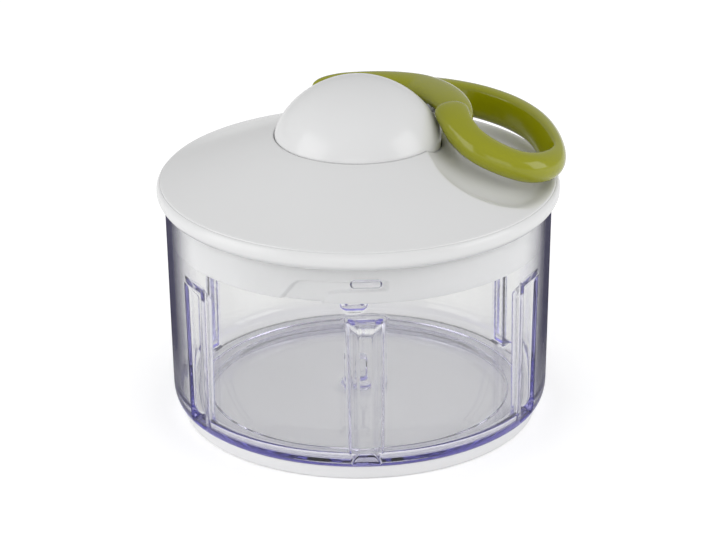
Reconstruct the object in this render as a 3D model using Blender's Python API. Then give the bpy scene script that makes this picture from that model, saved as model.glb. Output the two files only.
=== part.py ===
"""Pull cord food chopper: clear ribbed bowl on a base lid, white twist lid with a recoil drive in its
dome, and a green ring handle that draws the cord. Metres, +Z up, origin under the middle of the base."""

import math

import bmesh
import bpy
from mathutils import Vector

MM = 0.001
GAP = 0.3 * MM
OVERSHOOT = 1.0 * MM
STEPS_LARGE = 48
STEPS_DOME = 40
STEPS_MEDIUM = 30
STEPS_SMALL = 16

# Bowl
BOWL_MOUTH_RADIUS = 75.45 * MM
BOWL_TAPER = 1.35 * MM
BOWL_FOOT_RADIUS = BOWL_MOUTH_RADIUS - BOWL_TAPER
BOWL_CORNER = 7.0 * MM
BOWL_CORNER_DEPTH = 1.9 * MM
BOWL_CORNER_LIP = 0.5 * MM
BOWL_WALL = 2.4 * MM
BOWL_FLOOR = 2.4 * MM
BOWL_TOP = 90.6 * MM
BOWL_FILLET = 6.5 * MM
BOWL_ARC_STEPS = 4
FOOT_RING_INSET = 10.1 * MM
FOOT_RING_WIDTH = 5.0 * MM
FOOT_RING_OUTER = BOWL_FOOT_RADIUS - FOOT_RING_INSET
FOOT_RING_INNER = FOOT_RING_OUTER - FOOT_RING_WIDTH
PIN_RADIUS = 3.0 * MM
PIN_HEIGHT = 11.5 * MM
PIN_CHAMFER = 0.8 * MM
PIN_BOSS_RADIUS = 7.0 * MM
PIN_BOSS_HEIGHT = 1.6 * MM

# Base lid, which closes the bowl for storage and keeps it from slipping
BASE_RIM_WIDTH = 5.8 * MM
BASE_RADIUS = FOOT_RING_OUTER + GAP + BASE_RIM_WIDTH
BASE_HEIGHT = 5.7 * MM
BASE_FLARE = 1.0 * MM
BASE_FLOOR = 1.8 * MM
BASE_CHAMFER = 0.8 * MM
GRIP_INSET = 1.5 * MM
GRIP_WIDTH = 5.0 * MM
GRIP_OUTER = FOOT_RING_OUTER - GRIP_INSET
GRIP_INNER = GRIP_OUTER - GRIP_WIDTH
GRIP_HEIGHT = 1.0 * MM

# Six channels pressed into the bowl's wall, which stand as ribs inside it
CHANNEL_COUNT = 6
CHANNEL_FIRST_ANGLE = math.radians(-88.7)
CHANNEL_MOUTH = 14.2 * MM
CHANNEL_BED = 7.6 * MM
CHANNEL_DEPTH = 4.4 * MM
CHANNEL_TOP = 67.6 * MM
CHANNEL_BOTTOM = 10.0 * MM

# Bayonet between bowl and lid
LUG_COUNT = 3
LUG_FIRST_ANGLE = math.radians(-87.8)
LUG_ARC = math.radians(10.2)
LUG_BOTTOM = 80.0 * MM
LUG_HEIGHT = 3.7 * MM
LUG_DEPTH = 1.1 * MM
UNLOCK_ANGLE = math.radians(23.5)
TRACK_SET_BACK = 0.5 * MM
TRACK_MARGIN = math.radians(0.8)
TRACK_STEPS = 6

# Lid cover: a shallow cone with a rounded rim and a finger recess under the handle
LID_OVERHANG = 3.05 * MM
LID_RADIUS = BOWL_MOUTH_RADIUS + LID_OVERHANG
RIM_CREASE_INSET = 1.5 * MM
RIM_CREASE_RADIUS = LID_RADIUS - RIM_CREASE_INSET
RIM_CREASE_Z = 96.4 * MM
RIM_WIDEST_Z = 92.7 * MM
RIM_BOTTOM_Z = 89.0 * MM
RIM_BULGE = 2.5 * MM
RIM_BULGE_HEIGHT = 3.1 * MM
RIM_BULGE_TOP = 45
RIM_BULGE_FOOT = -55
RIM_BULGE_STEPS = 4
RIM_EDGE = 0.5 * MM
COVER_WALL = 2.3 * MM
COVER_RINGS = 7
RECESS_DEPTH = 4.0 * MM
RECESS_BLEND = 13.0 * MM
RECESS_NEAR = 18.1 * MM
RECESS_FAR = 100.0 * MM
RECESS_HALF_WIDTH = 57.9 * MM
RECESS_CORNER = 23.6 * MM
RECESS_RIM_FADE = 9.0 * MM
NECK_WALL = 2.0 * MM
NECK_BOTTOM = 106.0 * MM

# Dome cap over the drive
DOME_RADIUS = 33.04 * MM
DOME_RISE = 26.76 * MM
DOME_CENTRE_Z = 108.46 * MM
DOME_FOOT_Z = 114.2 * MM
DOME_FOOT_ANGLE = math.asin((DOME_FOOT_Z - DOME_CENTRE_Z) / DOME_RISE)
DOME_FOOT_RADIUS = DOME_RADIUS * math.cos(DOME_FOOT_ANGLE)
DOME_CROWN = 1.5 * MM
DOME_CROWN_POWER = 5
DOME_WALL = 2.2 * MM
DOME_BOTTOM = 107.0 * MM
DOME_OUTER_STEPS = 9
DOME_INNER_STEPS = 6
DOME_BOSS_RADIUS = 9.0 * MM

# Lid carrier: the plate and skirt that plug into the bowl
SKIRT_CLEARANCE = 0.75 * MM
SKIRT_RADIUS = BOWL_MOUTH_RADIUS - BOWL_WALL - SKIRT_CLEARANCE
SKIRT_WALL = 2.1 * MM
SKIRT_BOTTOM = 75.7 * MM
SKIRT_STEP = 1.5 * MM
PLATE_BOTTOM = 77.7 * MM
PLATE_THICKNESS = 2.2 * MM
TOWER_RADIUS = 11.5 * MM
TOWER_TAPER = 1.0 * MM
TOWER_FOOT = 2.0 * MM
TOWER_FOOT_HEIGHT = 3.0 * MM
TOWER_TOP = 100.8 * MM
TOWER_BORE = 8.0 * MM
SEAL_THICKNESS = 1.5 * MM

# Screws that hold the carrier to the cover
SCREW_COUNT = 3
SCREW_INSET = 22.3 * MM
SCREW_CIRCLE = SKIRT_RADIUS - SCREW_INSET
SCREW_FIRST_ANGLE = math.radians(-100.0)
SCREW_SHANK = 1.5 * MM
SCREW_HEAD = 3.2 * MM
SCREW_HEAD_HEIGHT = 1.3 * MM
SCREW_HEAD_CHAMFER = 0.4 * MM
SCREW_POINT = 1.0 * MM
SCREW_LENGTH = 14.0 * MM
SCREW_BORE_SPARE = 2.0 * MM
SCREW_BOSS_RADIUS = 4.2 * MM

# Drive shaft with its socket for the blades
SHAFT_RADIUS = 5.0 * MM
SHAFT_TOP = 128.0 * MM
SHAFT_FLAT = 4.0 * MM
SOCKET_HEAD_RADIUS = 8.7 * MM
SOCKET_HEAD_BOTTOM = 66.0 * MM
SOCKET_FLATS = 9.4 * MM
SOCKET_DEPTH = 9.5 * MM
BUSH_LENGTH = 6.0 * MM
CLIP_THICKNESS = 0.6 * MM
CLIP_GROOVE = 0.8 * MM
CLIP_REACH = 2.0 * MM
CLIP_HALF_OPENING = math.radians(30.0)
CLIP_STEPS = 14

# One way clutch under the spool
RATCHET_TEETH = 8
RATCHET_TIP = 10.0 * MM
RATCHET_ROOT = 8.4 * MM
RATCHET_BACK = 8.8 * MM
RATCHET_BACK_SHARE = 0.55
RATCHET_UNDERCUT = 0.04
RATCHET_HEIGHT = 4.0 * MM
RATCHET_LIFT = 0.5 * MM
PAWL_COUNT = 2
PAWL_PIVOT_CIRCLE = 16.5 * MM
PAWL_PIVOT_ANGLE = math.radians(62.0)
PAWL_TIP_ANGLE = math.radians(5.5)
PAWL_TIP_CLEARANCE = 0.75 * MM
PAWL_HEEL_CLEARANCE = 0.9 * MM
PAWL_EYE_RADIUS = 2.2 * MM
PAWL_ROUND_STEPS = 8
PAWL_POST_RADIUS = 1.1 * MM
PAWL_HEIGHT = 3.0 * MM
CLUTCH_PLATE_LIFT = 1.1 * MM
CLUTCH_PLATE_THICKNESS = 1.2 * MM
CLUTCH_PLATE_BORE = 8.0 * MM
CLUTCH_PLATE_BOTTOM = TOWER_TOP + CLUTCH_PLATE_LIFT
CLUTCH_PLATE_TOP = CLUTCH_PLATE_BOTTOM + CLUTCH_PLATE_THICKNESS
RATCHET_BOTTOM = CLUTCH_PLATE_TOP + RATCHET_LIFT
RATCHET_TOP = RATCHET_BOTTOM + RATCHET_HEIGHT
WASHER_THICKNESS = 0.5 * MM

# Spool, cord and recoil spring
SPOOL_BOTTOM = RATCHET_TOP + WASHER_THICKNESS + 2 * GAP
SPOOL_DISC = 2.2 * MM
SPOOL_CHANNEL = 11.0 * MM
SPOOL_FLANGE = 1.4 * MM
SPOOL_DISC_TOP = SPOOL_BOTTOM + SPOOL_DISC
SPOOL_TOP = SPOOL_DISC_TOP + SPOOL_CHANNEL + SPOOL_FLANGE
SPOOL_SIDE_ROOM = 8.34 * MM
SPOOL_LOWER_RADIUS = DOME_RADIUS - DOME_WALL - SPOOL_SIDE_ROOM
SPOOL_UPPER_INSET = 1.0 * MM
SPOOL_UPPER_RADIUS = SPOOL_LOWER_RADIUS - SPOOL_UPPER_INSET
SPOOL_CORD_ROOM = 5.8 * MM
SPOOL_CORE_RADIUS = SPOOL_LOWER_RADIUS - SPOOL_CORD_ROOM
SPOOL_CORE_WALL = 1.8 * MM
DRUM_WALL = 1.8 * MM
DRUM_ROOM = 0.5 * MM
DRUM_RADIUS = PAWL_PIVOT_CIRCLE + PAWL_EYE_RADIUS + DRUM_ROOM + DRUM_WALL
CORD_DIAMETER = 1.8 * MM
CORD_TURNS = 3.6
CORD_TURN_POINTS = 24
CORD_PITCH = 2.3 * MM
CORD_EXIT_RISE = 8.7 * MM
CORD_HEIGHT = SPOOL_DISC_TOP + CORD_EXIT_RISE
CORD_LAP_ANGLE = math.radians(20.0)
CORD_LAP_POINTS = 4
CORD_BEND_START = 0.55
CORD_BEND_END = 2.3 * MM
CORD_BEND_POINTS = 6
ARBOR_RADIUS = 7.0 * MM
ARBOR_FLANGE = 1.2 * MM
ARBOR_HEADROOM = 2.6 * MM
SPRING_STRIP = 0.4 * MM
SPRING_TURNS = 6
SPRING_TURN_POINTS = 20
SPRING_HEIGHT = 8.6 * MM
GUIDE_BORE = 1.3 * MM
GUIDE_LIP = 0.4 * MM
GUIDE_RADIUS = 2.5 * MM
GUIDE_STAND_OFF = 0.8 * MM
GUIDE_INNER = SPOOL_LOWER_RADIUS + GUIDE_STAND_OFF
GUIDE_SET_BACK = 0.64 * MM
GUIDE_OUTER = DOME_RADIUS * math.sqrt(1 - ((CORD_HEIGHT - DOME_CENTRE_Z) / DOME_RISE) ** 2) - GUIDE_SET_BACK
GUIDE_FLANGE_RADIUS = 3.4 * MM
GUIDE_FLANGE = 0.9 * MM
GUIDE_HOLE_LENGTH = 20.0 * MM

# Pull handle
PULL_ANGLE = math.radians(20.0)
HANDLE_RISE = 7.7 * MM
HANDLE_TWIST = 0.9
HANDLE_SECTION_POINTS = 11
HANDLE_WALL_FOOT = math.radians(-150.0)
HANDLE_RING_STATIONS = 46
HANDLE_TAIL_STATIONS = 14
KNOT_RADIUS = 2.4 * MM
KNOT_STAND_OFF = 8.2 * MM
KNOT_REACH = GUIDE_OUTER + KNOT_STAND_OFF
KNOT_ARC_STEPS = 6
KNOT_HOLE_LENGTH = 14.0 * MM
POCKET_DEPTH = 12.0 * MM
PLUG_HEIGHT = 4.4 * MM

# Stations of the handle: angle in degrees, place from the dome's side at 0 to the lid's edge at 1,
# then in millimetres half width, height over and depth under the middle line, how far outwards of
# that line the ridge on the hole's side stands, and last the outer side's lean over the dome
RING_ROUTE = [(-1.14, 0.9255, 5.6, 6.2, 6.2, 1.2, 0.0), (11.73, 0.9178, 5.9, 6.2, 6.2, -0.5, 0.0),
              (23.77, 0.9101, 6.2, 6.2, 6.2, -2.0, 0.0), (35.79, 0.8679, 6.4, 6.2, 6.2, -2.8, 0.0),
              (47.10, 0.7597, 6.6, 6.2, 6.2, -2.8, 0.0), (55.49, 0.5545, 6.8, 6.2, 6.4, -3.2, 0.2),
              (55.97, 0.2951, 6.8, 6.2, 7.0, -4.6, 0.5), (41.30, 0.1398, 7.4, 6.2, 8.0, -5.9, 0.6),
              (23.18, 0.1059, 6.9, 6.2, 8.8, -5.7, 0.6), (6.86, 0.1018, 6.5, 6.2, 8.8, -4.8, 0.5),
              (-10.38, 0.1521, 7.2, 6.2, 8.0, -3.4, 0.2), (-19.25, 0.3543, 7.0, 6.2, 7.0, -2.5, 0.0),
              (-19.82, 0.5709, 6.4, 6.2, 6.4, -2.5, 0.0), (-16.34, 0.7586, 6.2, 6.2, 6.2, -2.0, 0.0),
              (-9.45, 0.8810, 5.9, 6.2, 6.2, -0.5, 0.0)]
TAIL_ROUTE = [(119.68, 0.0505, 1.6, 3.4, 3.0, -1.6, 0.0), (114.18, 0.0520, 3.5, 5.0, 4.6, -3.5, 0.2),
              (103.02, 0.0544, 4.6, 5.8, 5.6, -4.6, 0.4), (86.82, 0.0663, 5.4, 5.8, 6.0, -5.4, 0.5),
              (68.75, 0.1229, 6.3, 5.9, 6.4, -6.3, 0.5), (55.39, 0.2220, 6.8, 6.1, 6.6, -6.8, 0.5),
              (51.84, 0.4482, 6.8, 6.1, 6.4, -6.8, 0.2)]


def cone_height(radius):
    """Height of the lid's cone above the base at a radius."""
    slope = (DOME_FOOT_Z - RIM_CREASE_Z) / (RIM_CREASE_RADIUS - DOME_FOOT_RADIUS)
    return RIM_CREASE_Z + (RIM_CREASE_RADIUS - radius) * slope


def pull_frame(along, across):
    """A plan point from its distances along and across the line of pull."""
    return (along * math.cos(PULL_ANGLE) - across * math.sin(PULL_ANGLE),
            along * math.sin(PULL_ANGLE) + across * math.cos(PULL_ANGLE))


def rim_fade(radius):
    """How much of the recess is left at a radius, from 0 at the rim's crease to 1."""
    return min(max((RIM_CREASE_RADIUS - radius) / RECESS_RIM_FADE, 0.0), 1.0)


def recess_depth(x, y):
    """How far the lid's cone is pressed down under the handle."""
    along = x * math.cos(PULL_ANGLE) + y * math.sin(PULL_ANGLE)
    across = -x * math.sin(PULL_ANGLE) + y * math.cos(PULL_ANGLE)
    middle = (RECESS_NEAR + RECESS_FAR) / 2
    half_length = (RECESS_FAR - RECESS_NEAR) / 2
    dx = abs(along - middle) - (half_length - RECESS_CORNER)
    dy = abs(across) - (RECESS_HALF_WIDTH - RECESS_CORNER)
    outside = math.hypot(max(dx, 0.0), max(dy, 0.0)) + min(max(dx, dy), 0.0) - RECESS_CORNER
    inside = min(max(-outside / RECESS_BLEND, 0.0), 1.0)
    scoop = inside * (2.0 - inside)
    return RECESS_DEPTH * scoop * rim_fade(math.hypot(x, y))


def finish(name, colour, roughness, metallic=0.0, transmission=0.0):
    """A plain shader with one colour."""
    material = bpy.data.materials.new(name)
    material.use_nodes = True
    shader = material.node_tree.nodes["Principled BSDF"]
    shader.inputs["Base Color"].default_value = (*colour, 1.0)
    shader.inputs["Roughness"].default_value = roughness
    shader.inputs["Metallic"].default_value = metallic
    shader.inputs["Transmission Weight"].default_value = transmission
    material.diffuse_color = (*colour, 1.0)
    return material


def object_from(name, bm, material, smooth_angle=math.radians(35)):
    """Turn a bmesh into a named object in the scene."""
    bmesh.ops.recalc_face_normals(bm, faces=bm.faces)
    mesh = bpy.data.meshes.new(name)
    bm.to_mesh(mesh)
    bm.free()
    mesh.shade_smooth()
    mesh.set_sharp_from_angle(angle=smooth_angle)
    piece = bpy.data.objects.new(name, mesh)
    bpy.context.scene.collection.objects.link(piece)
    if material is not None:
        mesh.materials.append(material)
    return piece


def spin_into(bm, outline, steps, centre=(0.0, 0.0)):
    """Spin a closed outline of (radius, height) points once round a vertical axis."""
    verts = [bm.verts.new((centre[0] + r, centre[1], z)) for r, z in outline]
    edges = []
    for index, vert in enumerate(verts):
        following = (index + 1) % len(verts)
        on_axis = outline[index][0] == 0.0 and outline[following][0] == 0.0
        if not on_axis:
            edges.append(bm.edges.new((vert, verts[following])))
    bmesh.ops.spin(bm, geom=verts + edges, cent=(*centre, 0.0), axis=(0.0, 0.0, 1.0),
                   angle=math.tau, steps=steps, use_merge=True)
    bmesh.ops.remove_doubles(bm, verts=bm.verts, dist=0.001 * MM)


def turned(name, outline, material, steps=STEPS_LARGE, centre=(0.0, 0.0)):
    """A turned piece about a vertical axis."""
    bm = bmesh.new()
    spin_into(bm, outline, steps, centre)
    return object_from(name, bm, material)


def prism_into(bm, outline, bottom, top):
    """Add an upright prism with the given plan outline."""
    base = bm.faces.new([bm.verts.new((x, y, bottom)) for x, y in outline])
    raised = bmesh.ops.extrude_face_region(bm, geom=[base])["geom"]
    lifted = [item for item in raised if isinstance(item, bmesh.types.BMVert)]
    bmesh.ops.translate(bm, verts=lifted, vec=(0.0, 0.0, top - bottom))


def prism(name, outline, bottom, top, material):
    """An upright prism as an object."""
    bm = bmesh.new()
    prism_into(bm, outline, bottom, top)
    return object_from(name, bm, material)


def polar(radius, angle):
    """Plan point at a radius and an angle."""
    return (radius * math.cos(angle), radius * math.sin(angle))


def circle(radius, steps, centre=(0.0, 0.0)):
    """Plan outline of a circle."""
    return [(centre[0] + radius * math.cos(math.tau * i / steps),
             centre[1] + radius * math.sin(math.tau * i / steps)) for i in range(steps)]


def flatted_circle(radius, flat, steps):
    """Plan outline of a circle with one flat at a distance from its centre, across +X."""
    half = math.acos(flat / radius)
    return [polar(radius, half + (math.tau - 2 * half) * i / steps) for i in range(steps + 1)]


def arc(radius, height, size_r, size_z, start, end, count):
    """Points of an elliptic arc in a turned outline, from start to end in degrees."""
    points = []
    for index in range(count + 1):
        angle = math.radians(start + (end - start) * index / count)
        points.append((radius + size_r * math.cos(angle), height + size_z * math.sin(angle)))
    return points


def placed(outline, angle):
    """Turn a plan outline, drawn with +Y pointing outwards, to stand at an angle round the axis."""
    turn = angle - math.pi / 2
    return [(x * math.cos(turn) - y * math.sin(turn), x * math.sin(turn) + y * math.cos(turn))
            for x, y in outline]


def ring_sector(bm, radius, start, end, bottom, top):
    """Add a block that holds all beyond a radius between two angles."""
    outline = [polar(radius, start + (end - start) * i / TRACK_STEPS) for i in range(TRACK_STEPS + 1)]
    outline += [polar(LID_RADIUS, end + (start - end) * i / TRACK_STEPS) for i in range(TRACK_STEPS + 1)]
    prism_into(bm, outline, bottom, top)


def combine(piece, tool, operation):
    """Add an exact Boolean modifier and mark its tool as no part of the object."""
    tool.hide_render = True
    tool.display_type = "WIRE"
    modifier = piece.modifiers.new(tool.name, "BOOLEAN")
    modifier.operation = operation
    modifier.solver = "EXACT"
    modifier.object = tool


def level_bore(name, radius, length, middle):
    """A round cutter that lies along the line of pull at the cord's height."""
    bm = bmesh.new()
    bmesh.ops.create_cone(bm, cap_ends=True, segments=STEPS_SMALL, radius1=radius, radius2=radius,
                          depth=length)
    return lay_along_pull(object_from(name, bm, None), middle)


def lay_along_pull(piece, reach=0.0):
    """Lay a piece drawn round the Z axis along the line of pull."""
    piece.rotation_euler = (0.0, math.pi / 2, PULL_ANGLE)
    piece.location = (*polar(reach, PULL_ANGLE), CORD_HEIGHT)
    return piece


def move_origin(piece, point):
    """Put a piece's origin at a point without moving the piece."""
    for vert in piece.data.vertices:
        vert.co -= Vector(point)
    piece.location = point


def make_base(finishes):
    """Base lid and its grip ring."""
    groove_in = GRIP_INNER - GAP
    groove_out = GRIP_OUTER + GAP
    groove_roof = GRIP_HEIGHT + GAP
    step = groove_roof + BASE_FLOOR
    rim_inner = FOOT_RING_OUTER + GAP
    outline = [(0.0, 0.0), (groove_in, 0.0), (groove_in, groove_roof), (groove_out, groove_roof),
               (groove_out, 0.0), (BASE_RADIUS - BASE_CHAMFER, 0.0), (BASE_RADIUS, BASE_CHAMFER),
               (BASE_RADIUS + BASE_FLARE, BASE_HEIGHT), (rim_inner, BASE_HEIGHT), (rim_inner, step),
               (groove_in - BASE_FLOOR, step), (groove_in - 2 * BASE_FLOOR, BASE_FLOOR), (0.0, BASE_FLOOR)]
    turned("base_lid", outline, finishes["soft white"])
    turned("base_grip_ring", [(GRIP_INNER, 0.0), (GRIP_OUTER, 0.0), (GRIP_OUTER, GRIP_HEIGHT),
                              (GRIP_INNER, GRIP_HEIGHT)], finishes["grey rubber"])


def wall_radius(height):
    """Outer radius of the bowl's tapered wall at a height."""
    foot = BASE_HEIGHT + GAP + BOWL_CORNER
    share = (height - foot) / (BOWL_TOP - foot)
    return BOWL_FOOT_RADIUS + (BOWL_MOUTH_RADIUS - BOWL_FOOT_RADIUS) * share


def lug_face():
    """Radius of the inner face of the bowl's bayonet lugs."""
    return wall_radius(LUG_BOTTOM) - BOWL_WALL - LUG_DEPTH


def make_bowl(finishes):
    """Clear bowl with its foot ring, ribs, bayonet lugs and pivot pin."""
    bottom = BASE_HEIGHT + GAP
    floor = bottom + BOWL_FLOOR
    ring_bottom = GRIP_HEIGHT + GAP + BASE_FLOOR + GAP
    corner = BOWL_FOOT_RADIUS - BOWL_CORNER_DEPTH
    outline = [(0.0, bottom), (FOOT_RING_INNER, bottom), (FOOT_RING_INNER, ring_bottom),
               (FOOT_RING_OUTER, ring_bottom), (FOOT_RING_OUTER, bottom), (corner - BOWL_CORNER_LIP, bottom)]
    outline += arc(corner, bottom + BOWL_CORNER, BOWL_CORNER_DEPTH, BOWL_CORNER - BOWL_CORNER_LIP,
                   -90, 0, BOWL_ARC_STEPS)
    outline += [(BOWL_MOUTH_RADIUS, BOWL_TOP), (0.0, BOWL_TOP)]
    bowl = turned("bowl", outline, finishes["clear plastic"])

    over = BOWL_TOP + OVERSHOOT
    inner_foot = wall_radius(floor + BOWL_FILLET) - BOWL_WALL
    hollow = [(0.0, floor), (inner_foot - BOWL_FILLET, floor)]
    hollow += arc(inner_foot - BOWL_FILLET, floor + BOWL_FILLET, BOWL_FILLET, BOWL_FILLET,
                  -90, 0, BOWL_ARC_STEPS)
    hollow += [(wall_radius(over) - BOWL_WALL, over), (0.0, over)]
    cavity = turned("bowl_hollow", hollow, None)

    bm = bmesh.new()
    bed = wall_radius(CHANNEL_BOTTOM) - CHANNEL_DEPTH
    rib_foot = CHANNEL_MOUTH / 2 + BOWL_WALL
    rib_crest = CHANNEL_BED / 2 + BOWL_WALL / 2
    rib = [(-rib_foot, BOWL_MOUTH_RADIUS), (-rib_crest, bed - BOWL_WALL), (rib_crest, bed - BOWL_WALL),
           (rib_foot, BOWL_MOUTH_RADIUS)]
    beyond = BOWL_MOUTH_RADIUS + OVERSHOOT
    splay = (CHANNEL_MOUTH - CHANNEL_BED) / 2 / CHANNEL_DEPTH
    mouth = CHANNEL_BED / 2 + (beyond - bed) * splay
    channel = [(-mouth, beyond), (-CHANNEL_BED / 2, bed), (CHANNEL_BED / 2, bed), (mouth, beyond)]
    channels = bmesh.new()
    for index in range(CHANNEL_COUNT):
        angle = CHANNEL_FIRST_ANGLE + math.tau * index / CHANNEL_COUNT
        prism_into(bm, placed(rib, angle), bottom, CHANNEL_TOP + BOWL_WALL)
        prism_into(channels, placed(channel, angle), CHANNEL_BOTTOM, CHANNEL_TOP)
    reach = math.sin(LUG_ARC / 2) * BOWL_MOUTH_RADIUS
    lug = [(-reach, BOWL_MOUTH_RADIUS), (-reach, lug_face()), (reach, lug_face()),
           (reach, BOWL_MOUTH_RADIUS)]
    for index in range(LUG_COUNT):
        angle = LUG_FIRST_ANGLE + math.tau * index / LUG_COUNT
        prism_into(bm, placed(lug, angle), LUG_BOTTOM, LUG_BOTTOM + LUG_HEIGHT)
    boss_top = floor + PIN_BOSS_HEIGHT
    pin_top = floor + PIN_HEIGHT
    spin_into(bm, [(0.0, bottom), (PIN_BOSS_RADIUS, bottom), (PIN_BOSS_RADIUS, boss_top),
                   (PIN_RADIUS, boss_top), (PIN_RADIUS, pin_top - PIN_CHAMFER),
                   (PIN_RADIUS - PIN_CHAMFER, pin_top), (0.0, pin_top)], STEPS_SMALL)
    combine(cavity, object_from("bowl_ribs", bm, None), "DIFFERENCE")
    combine(bowl, cavity, "DIFFERENCE")
    combine(bowl, object_from("bowl_channels", channels, None), "DIFFERENCE")


def screw_centres():
    """Plan points of the screws."""
    return [polar(SCREW_CIRCLE, SCREW_FIRST_ANGLE + math.tau * i / SCREW_COUNT) for i in range(SCREW_COUNT)]


def make_cover(finishes):
    """Lid cover with its rim, its neck round the dome and its finger recess."""
    neck = DOME_FOOT_RADIUS + GAP
    inner_neck = neck + NECK_WALL
    groove_outer = BOWL_MOUTH_RADIUS + 1.5 * GAP
    groove_roof = BOWL_TOP + SEAL_THICKNESS + 2 * GAP
    groove_inner = SKIRT_RADIUS + 2 * GAP
    outline = []
    for index in range(COVER_RINGS + 1):
        radius = neck + (RIM_CREASE_RADIUS - neck) * index / COVER_RINGS
        outline.append((radius, cone_height(radius)))
    outline += arc(LID_RADIUS - RIM_BULGE, RIM_WIDEST_Z, RIM_BULGE, RIM_BULGE_HEIGHT,
                   RIM_BULGE_TOP, RIM_BULGE_FOOT, RIM_BULGE_STEPS)
    outline += [(groove_outer + RIM_EDGE, RIM_BOTTOM_Z), (groove_outer, RIM_BOTTOM_Z + RIM_EDGE),
                (groove_outer, groove_roof), (groove_inner, groove_roof)]
    for index in range(COVER_RINGS + 1):
        radius = groove_inner + (inner_neck - groove_inner) * index / COVER_RINGS
        outline.append((radius, cone_height(radius) - COVER_WALL))
    outline += [(inner_neck, NECK_BOTTOM), (neck, NECK_BOTTOM)]
    bm = bmesh.new()
    spin_into(bm, outline, STEPS_LARGE)
    for vert in bm.verts:
        radius = math.hypot(vert.co.x, vert.co.y)
        on_neck_foot = vert.co.z < NECK_BOTTOM + GAP and radius < inner_neck + GAP
        if vert.co.z > groove_roof + GAP and radius < RIM_CREASE_RADIUS and not on_neck_foot:
            vert.co.z -= recess_depth(vert.co.x, vert.co.y)
    cover = object_from("lid_cover", bm, finishes["white plastic"])

    bosses = bmesh.new()
    bores = bmesh.new()
    boss_bottom = PLATE_BOTTOM + PLATE_THICKNESS + GAP
    bore_top = PLATE_BOTTOM + SCREW_LENGTH + SCREW_BORE_SPARE
    for centre in screw_centres():
        top = cone_height(SCREW_CIRCLE) - COVER_WALL / 2 - recess_depth(*centre)
        prism_into(bosses, circle(SCREW_BOSS_RADIUS, STEPS_SMALL, centre), boss_bottom, top)
        prism_into(bores, circle(SCREW_SHANK + GAP, STEPS_SMALL, centre), PLATE_BOTTOM, bore_top)
    combine(cover, object_from("screw_bosses", bosses, None), "UNION")
    combine(cover, object_from("screw_bores", bores, None), "DIFFERENCE")


def crowned(outline):
    """Raise the top of a turned outline of the dome to its crown."""
    return [(r, z + DOME_CROWN * ((z - DOME_CENTRE_Z) / DOME_RISE) ** DOME_CROWN_POWER) for r, z in outline]


def make_dome(finishes):
    """Dome cap with the boss that holds the top of the drive."""
    foot = math.degrees(DOME_FOOT_ANGLE)
    inner_end = math.degrees(math.acos(DOME_BOSS_RADIUS / (DOME_RADIUS - DOME_WALL)))
    shell = arc(0.0, DOME_CENTRE_Z, DOME_RADIUS, DOME_RISE, foot, 90, DOME_OUTER_STEPS)
    shell[-1] = (0.0, DOME_CENTRE_Z + DOME_RISE)
    lining = arc(0.0, DOME_CENTRE_Z, DOME_RADIUS - DOME_WALL, DOME_RISE - DOME_WALL, inner_end, foot,
                 DOME_INNER_STEPS)
    bore = SHAFT_RADIUS + GAP
    bore_top = SHAFT_TOP + 2 * GAP
    boss_bottom = SPOOL_TOP + ARBOR_HEADROOM
    outline = [(DOME_FOOT_RADIUS - DOME_WALL, DOME_BOTTOM), (DOME_FOOT_RADIUS, DOME_BOTTOM),
               *crowned(shell), (0.0, bore_top), (bore, bore_top), (bore, boss_bottom),
               (DOME_BOSS_RADIUS, boss_bottom), *crowned(lining)]
    cap = turned("dome_cap", outline, finishes["white plastic"], STEPS_DOME)
    hole = level_bore("guide_hole", GUIDE_RADIUS + GAP, GUIDE_HOLE_LENGTH, DOME_FOOT_RADIUS)
    combine(cap, hole, "DIFFERENCE")


def make_guide(finishes):
    """Eyelet that leads the cord out of the dome."""
    bm = bmesh.new()
    flange_top = GUIDE_INNER + GUIDE_FLANGE
    spin_into(bm, [(GUIDE_BORE + GUIDE_LIP, GUIDE_INNER), (GUIDE_BORE, GUIDE_INNER + GUIDE_LIP),
                   (GUIDE_BORE, GUIDE_OUTER - GUIDE_LIP), (GUIDE_BORE + GUIDE_LIP, GUIDE_OUTER),
                   (GUIDE_RADIUS, GUIDE_OUTER), (GUIDE_RADIUS, flange_top),
                   (GUIDE_FLANGE_RADIUS, flange_top), (GUIDE_FLANGE_RADIUS, GUIDE_INNER)], STEPS_SMALL)
    lay_along_pull(object_from("cord_guide", bm, finishes["grey plastic"]))


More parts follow.
